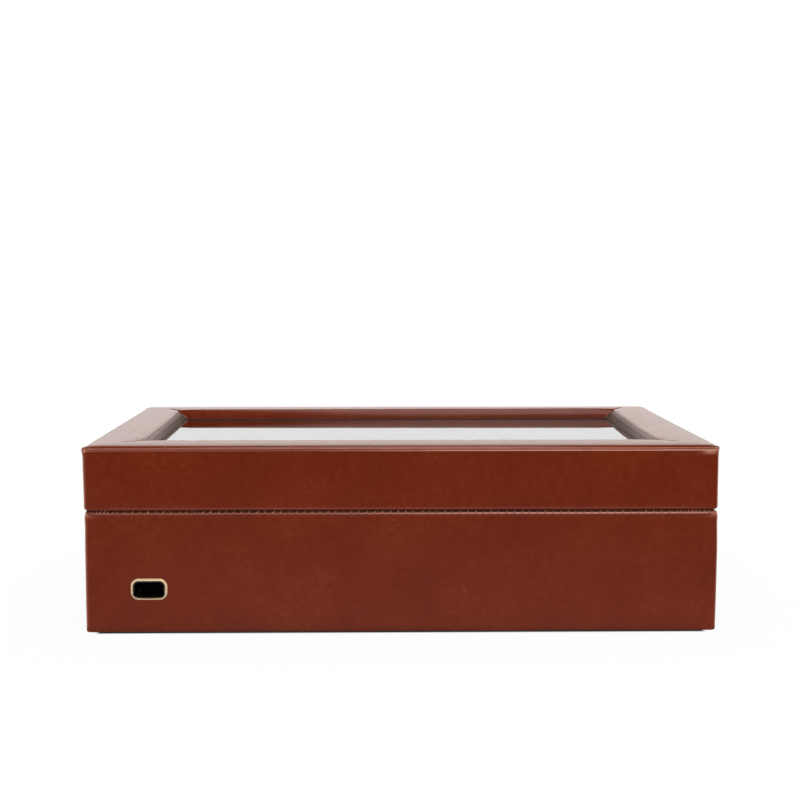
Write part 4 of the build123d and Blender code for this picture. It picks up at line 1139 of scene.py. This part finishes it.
covers = [pillow_cover(seed) for seed in range(2)]
for number in range(1, 13):
    column, row = (number - 1) % 6, (number - 1) // 6
    cover = covers[number % len(covers)]
    points = dressed_pillow(cover, number)
    if number % 3 == 1:
        points = points * np.array([-1, -1, 1])
    centre = np.array([(column - 2.5) * CELL_PITCH, (-PILLOW_ROW, PILLOW_ROW)[row],
                       PILLOW_MIDDLE])
    faces = [tuple(f.vertices) for f in cover.data.polygons]
    pillow = piece(f"sewn_pillow_{number}", points + centre, faces, pillow_suede)
    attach(pillow, f"pillow_{number}")
    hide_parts(f"watch_pillow_{number}")
for cover in covers:
    bpy.data.objects.remove(cover)


# Floor, light and background

floor_mesh = bpy.data.meshes.new("floor")
floor_mesh.from_pydata([(-4, -4, 0), (4, -4, 0), (4, 4, 0), (-4, 4, 0)], [], [(0, 1, 2, 3)])
floor = bpy.data.objects.new("floor", floor_mesh)
scene.collection.objects.link(floor)


def floor_material():
    """A white table, with the narrow shade of the box along its foot."""
    material = bpy.data.materials.new("white_table")
    tree = emptied(material)
    path = add(tree, "ShaderNodeLightPath")
    place = add(tree, "ShaderNodeTexCoord")
    centre = add(tree, "ShaderNodeVectorMath", links={0: place.outputs["Object"]},
                 operation="LENGTH")
    white = add(tree, "ShaderNodeEmission", {"Color": (1, 1, 1, 1), "Strength": 1.0})
    matt = add(tree, "ShaderNodeBsdfDiffuse", {"Color": (0.9, 0.9, 0.9, 1)})
    # Close to the box the table is shaded, and further away it melts into the background
    size = add(tree, "ShaderNodeVectorMath", links={0: place.outputs["Object"]},
               operation="ABSOLUTE")
    beyond = add(tree, "ShaderNodeVectorMath", {1: (0.157, 0.108, 0.0)},
                 {0: size.outputs[0]}, operation="SUBTRACT")
    parts = add(tree, "ShaderNodeSeparateXYZ", links={0: beyond.outputs[0]})
    distance = add(tree, "ShaderNodeMath", links={0: parts.outputs["X"], 1: parts.outputs["Y"]},
                   operation="MAXIMUM")
    close = add(tree, "ShaderNodeMapRange",
                {"From Min": 0.0012, "From Max": 0.0036, "To Min": 1.0, "To Max": 0.06},
                {"Value": distance.outputs[0]})
    away = add(tree, "ShaderNodeMapRange",
               {"From Min": 0.003, "From Max": 0.15, "To Min": 1.0, "To Max": 0.0},
               {"Value": distance.outputs[0]})
    near = add(tree, "ShaderNodeMath", links={0: close.outputs[0], 1: away.outputs[0]},
               operation="MULTIPLY")
    # Painted shadow: the table's own colour darkens to near black along the foot of the box
    painted_shadow_colour = add(tree, "ShaderNodeMapRange",
                {"From Min": 0.0010, "From Max": 0.0030, "To Min": 0.02, "To Max": 0.9},
                {"Value": distance.outputs[0]})
    tree.links.new(painted_shadow_colour.outputs[0], matt.inputs["Color"])
    seen = add(tree, "ShaderNodeMixShader", links={0: near.outputs[0], 1: white.outputs[0],
                                                   2: matt.outputs[0]})
    # Under the box the table gives no light
    open_table = add(tree, "ShaderNodeMapRange",
                     {"From Min": -0.001, "From Max": 0.006, "To Min": 0.0, "To Max": 0.88},
                     {"Value": distance.outputs[0]})
    lit = add(tree, "ShaderNodeEmission", {"Color": (1, 0.99, 0.98, 1)},
              {"Strength": open_table.outputs[0]})
    # What polished pieces see of the table, as painted light: a dim glow near the box, a white glow
    # beyond it
    place_parts = add(tree, "ShaderNodeSeparateXYZ", links={0: place.outputs["Object"]})
    fading = add(tree, "ShaderNodeMapRange",
                 {"From Min": 0.15, "From Max": 0.7, "To Min": 0.30, "To Max": 0.0},
                 {"Value": centre.outputs["Value"]})
    beyond_box = add(tree, "ShaderNodeMapRange",
                     {"From Min": -0.22, "From Max": -0.36, "To Min": 0.0, "To Max": 0.9},
                     {"Value": place_parts.outputs["Y"]})
    reflected_table_glow = add(tree, "ShaderNodeMath", links={0: fading.outputs[0], 1: beyond_box.outputs[0]},
                 operation="MAXIMUM")
    glossy = add(tree, "ShaderNodeEmission", {"Color": (1, 1, 1, 1)},
                 {"Strength": reflected_table_glow.outputs[0]})
    plain = add(tree, "ShaderNodeMixShader", links={0: path.outputs["Is Camera Ray"],
                                                    1: lit.outputs[0], 2: seen.outputs[0]})
    result = add(tree, "ShaderNodeMixShader", links={0: path.outputs["Is Glossy Ray"],
                                                     1: plain.outputs[0], 2: glossy.outputs[0]})
    add(tree, "ShaderNodeOutputMaterial", links={"Surface": result.outputs[0]})
    return material


floor_mesh.materials.append(floor_material())


def studio_world():
    """White behind everything. Glossy surfaces see a white backdrop above the horizon."""
    world = bpy.data.worlds.new("studio")
    scene.world = world
    tree = emptied(world)
    path = add(tree, "ShaderNodeLightPath")
    place = add(tree, "ShaderNodeTexCoord")
    parts = add(tree, "ShaderNodeSeparateXYZ", links={0: place.outputs["Generated"]})
    height = add(tree, "ShaderNodeValToRGB", links={"Fac": parts.outputs["Z"]})
    backdrop = coloured(height, ((0.0, "#606060"), (0.02, "#ffffff"), (0.19, "#ffffff"),
                                 (0.30, "#5a4a44"), (0.6, "#40342f"), (0.95, "#40342f")))
    white = add(tree, "ShaderNodeBackground", {"Color": (1, 1, 1, 1), "Strength": 1.0})
    around = add(tree, "ShaderNodeBackground", {"Color": (1, 0.99, 0.98, 1), "Strength": 0.8})
    shine = add(tree, "ShaderNodeBackground", {"Strength": 1.12}, {"Color": backdrop})
    seen = add(tree, "ShaderNodeMath", links={0: path.outputs["Is Camera Ray"],
                                              1: path.outputs["Is Transmission Ray"]},
               operation="MAXIMUM")
    plain = add(tree, "ShaderNodeMixShader", links={0: seen.outputs[0], 1: around.outputs[0],
                                                    2: white.outputs[0]})
    result = add(tree, "ShaderNodeMixShader", links={0: path.outputs["Is Glossy Ray"],
                                                     1: plain.outputs[0], 2: shine.outputs[0]})
    add(tree, "ShaderNodeOutputWorld", links={"Surface": result.outputs[0]})


studio_world()


def softbox(name, place, aim, width, height, radiance):
    """A lamp with an even face, turned towards the place it aims at."""
    data = bpy.data.lights.new(name, "AREA")
    data.shape = "RECTANGLE"
    data.size = width
    data.size_y = height
    data.energy = radiance * math.pi * width * height
    data.color = (1.0, 0.93, 0.87)
    lamp = bpy.data.objects.new(name, data)
    lamp.location = place
    lamp.rotation_euler = (Vector(aim) - Vector(place)).to_track_quat("-Z", "Y").to_euler()
    scene.collection.objects.link(lamp)


softbox("overhead_softbox", (-0.1, -0.02, 1.15), (0, 0, 0.05), 1.5, 0.5, 2.0)
softbox("front_card", (-0.15, 1.55, 0.85), (0, 0, 0.05), 1.6, 0.8, 1.1)

scene.view_settings.view_transform = "Standard"


# Finishes of the pieces that keep their CAD shape

FINISHES = {
    fibreboard: ["side_wall_left", "side_wall_right", "back_wall", "front_rail", "base_board",
                 "deck_board", "lid_wall_front", "lid_wall_back", "lid_wall_left",
                 "lid_wall_right", "lid_top_frame", "drawer_front"],
    stained_board: ["drawer_side_left", "drawer_side_right", "drawer_back", "drawer_bottom"],
    suede: ["tray_floor_lining", "tray_wall_lining", "glass_retainer", "lid_lining",
            "drawer_lining"],
    glass: ["glass_pane"],
    brass: ["lock_barrel", "lock_plug", "lock_strike", "stay_guide_pins", "stay_pivot_screws"],
    brushed_brass: ["stay_arm_left", "stay_arm_right"],
    zinc: ["lock_cam", "drawer_knob_screw"],
    runner_plastic: ["drawer_runners", "drawer_stop"],
}
for finish, names in FINISHES.items():
    for name in names:
        mesh = nodes[name].data
        mesh.materials.clear()
        mesh.materials.append(finish)
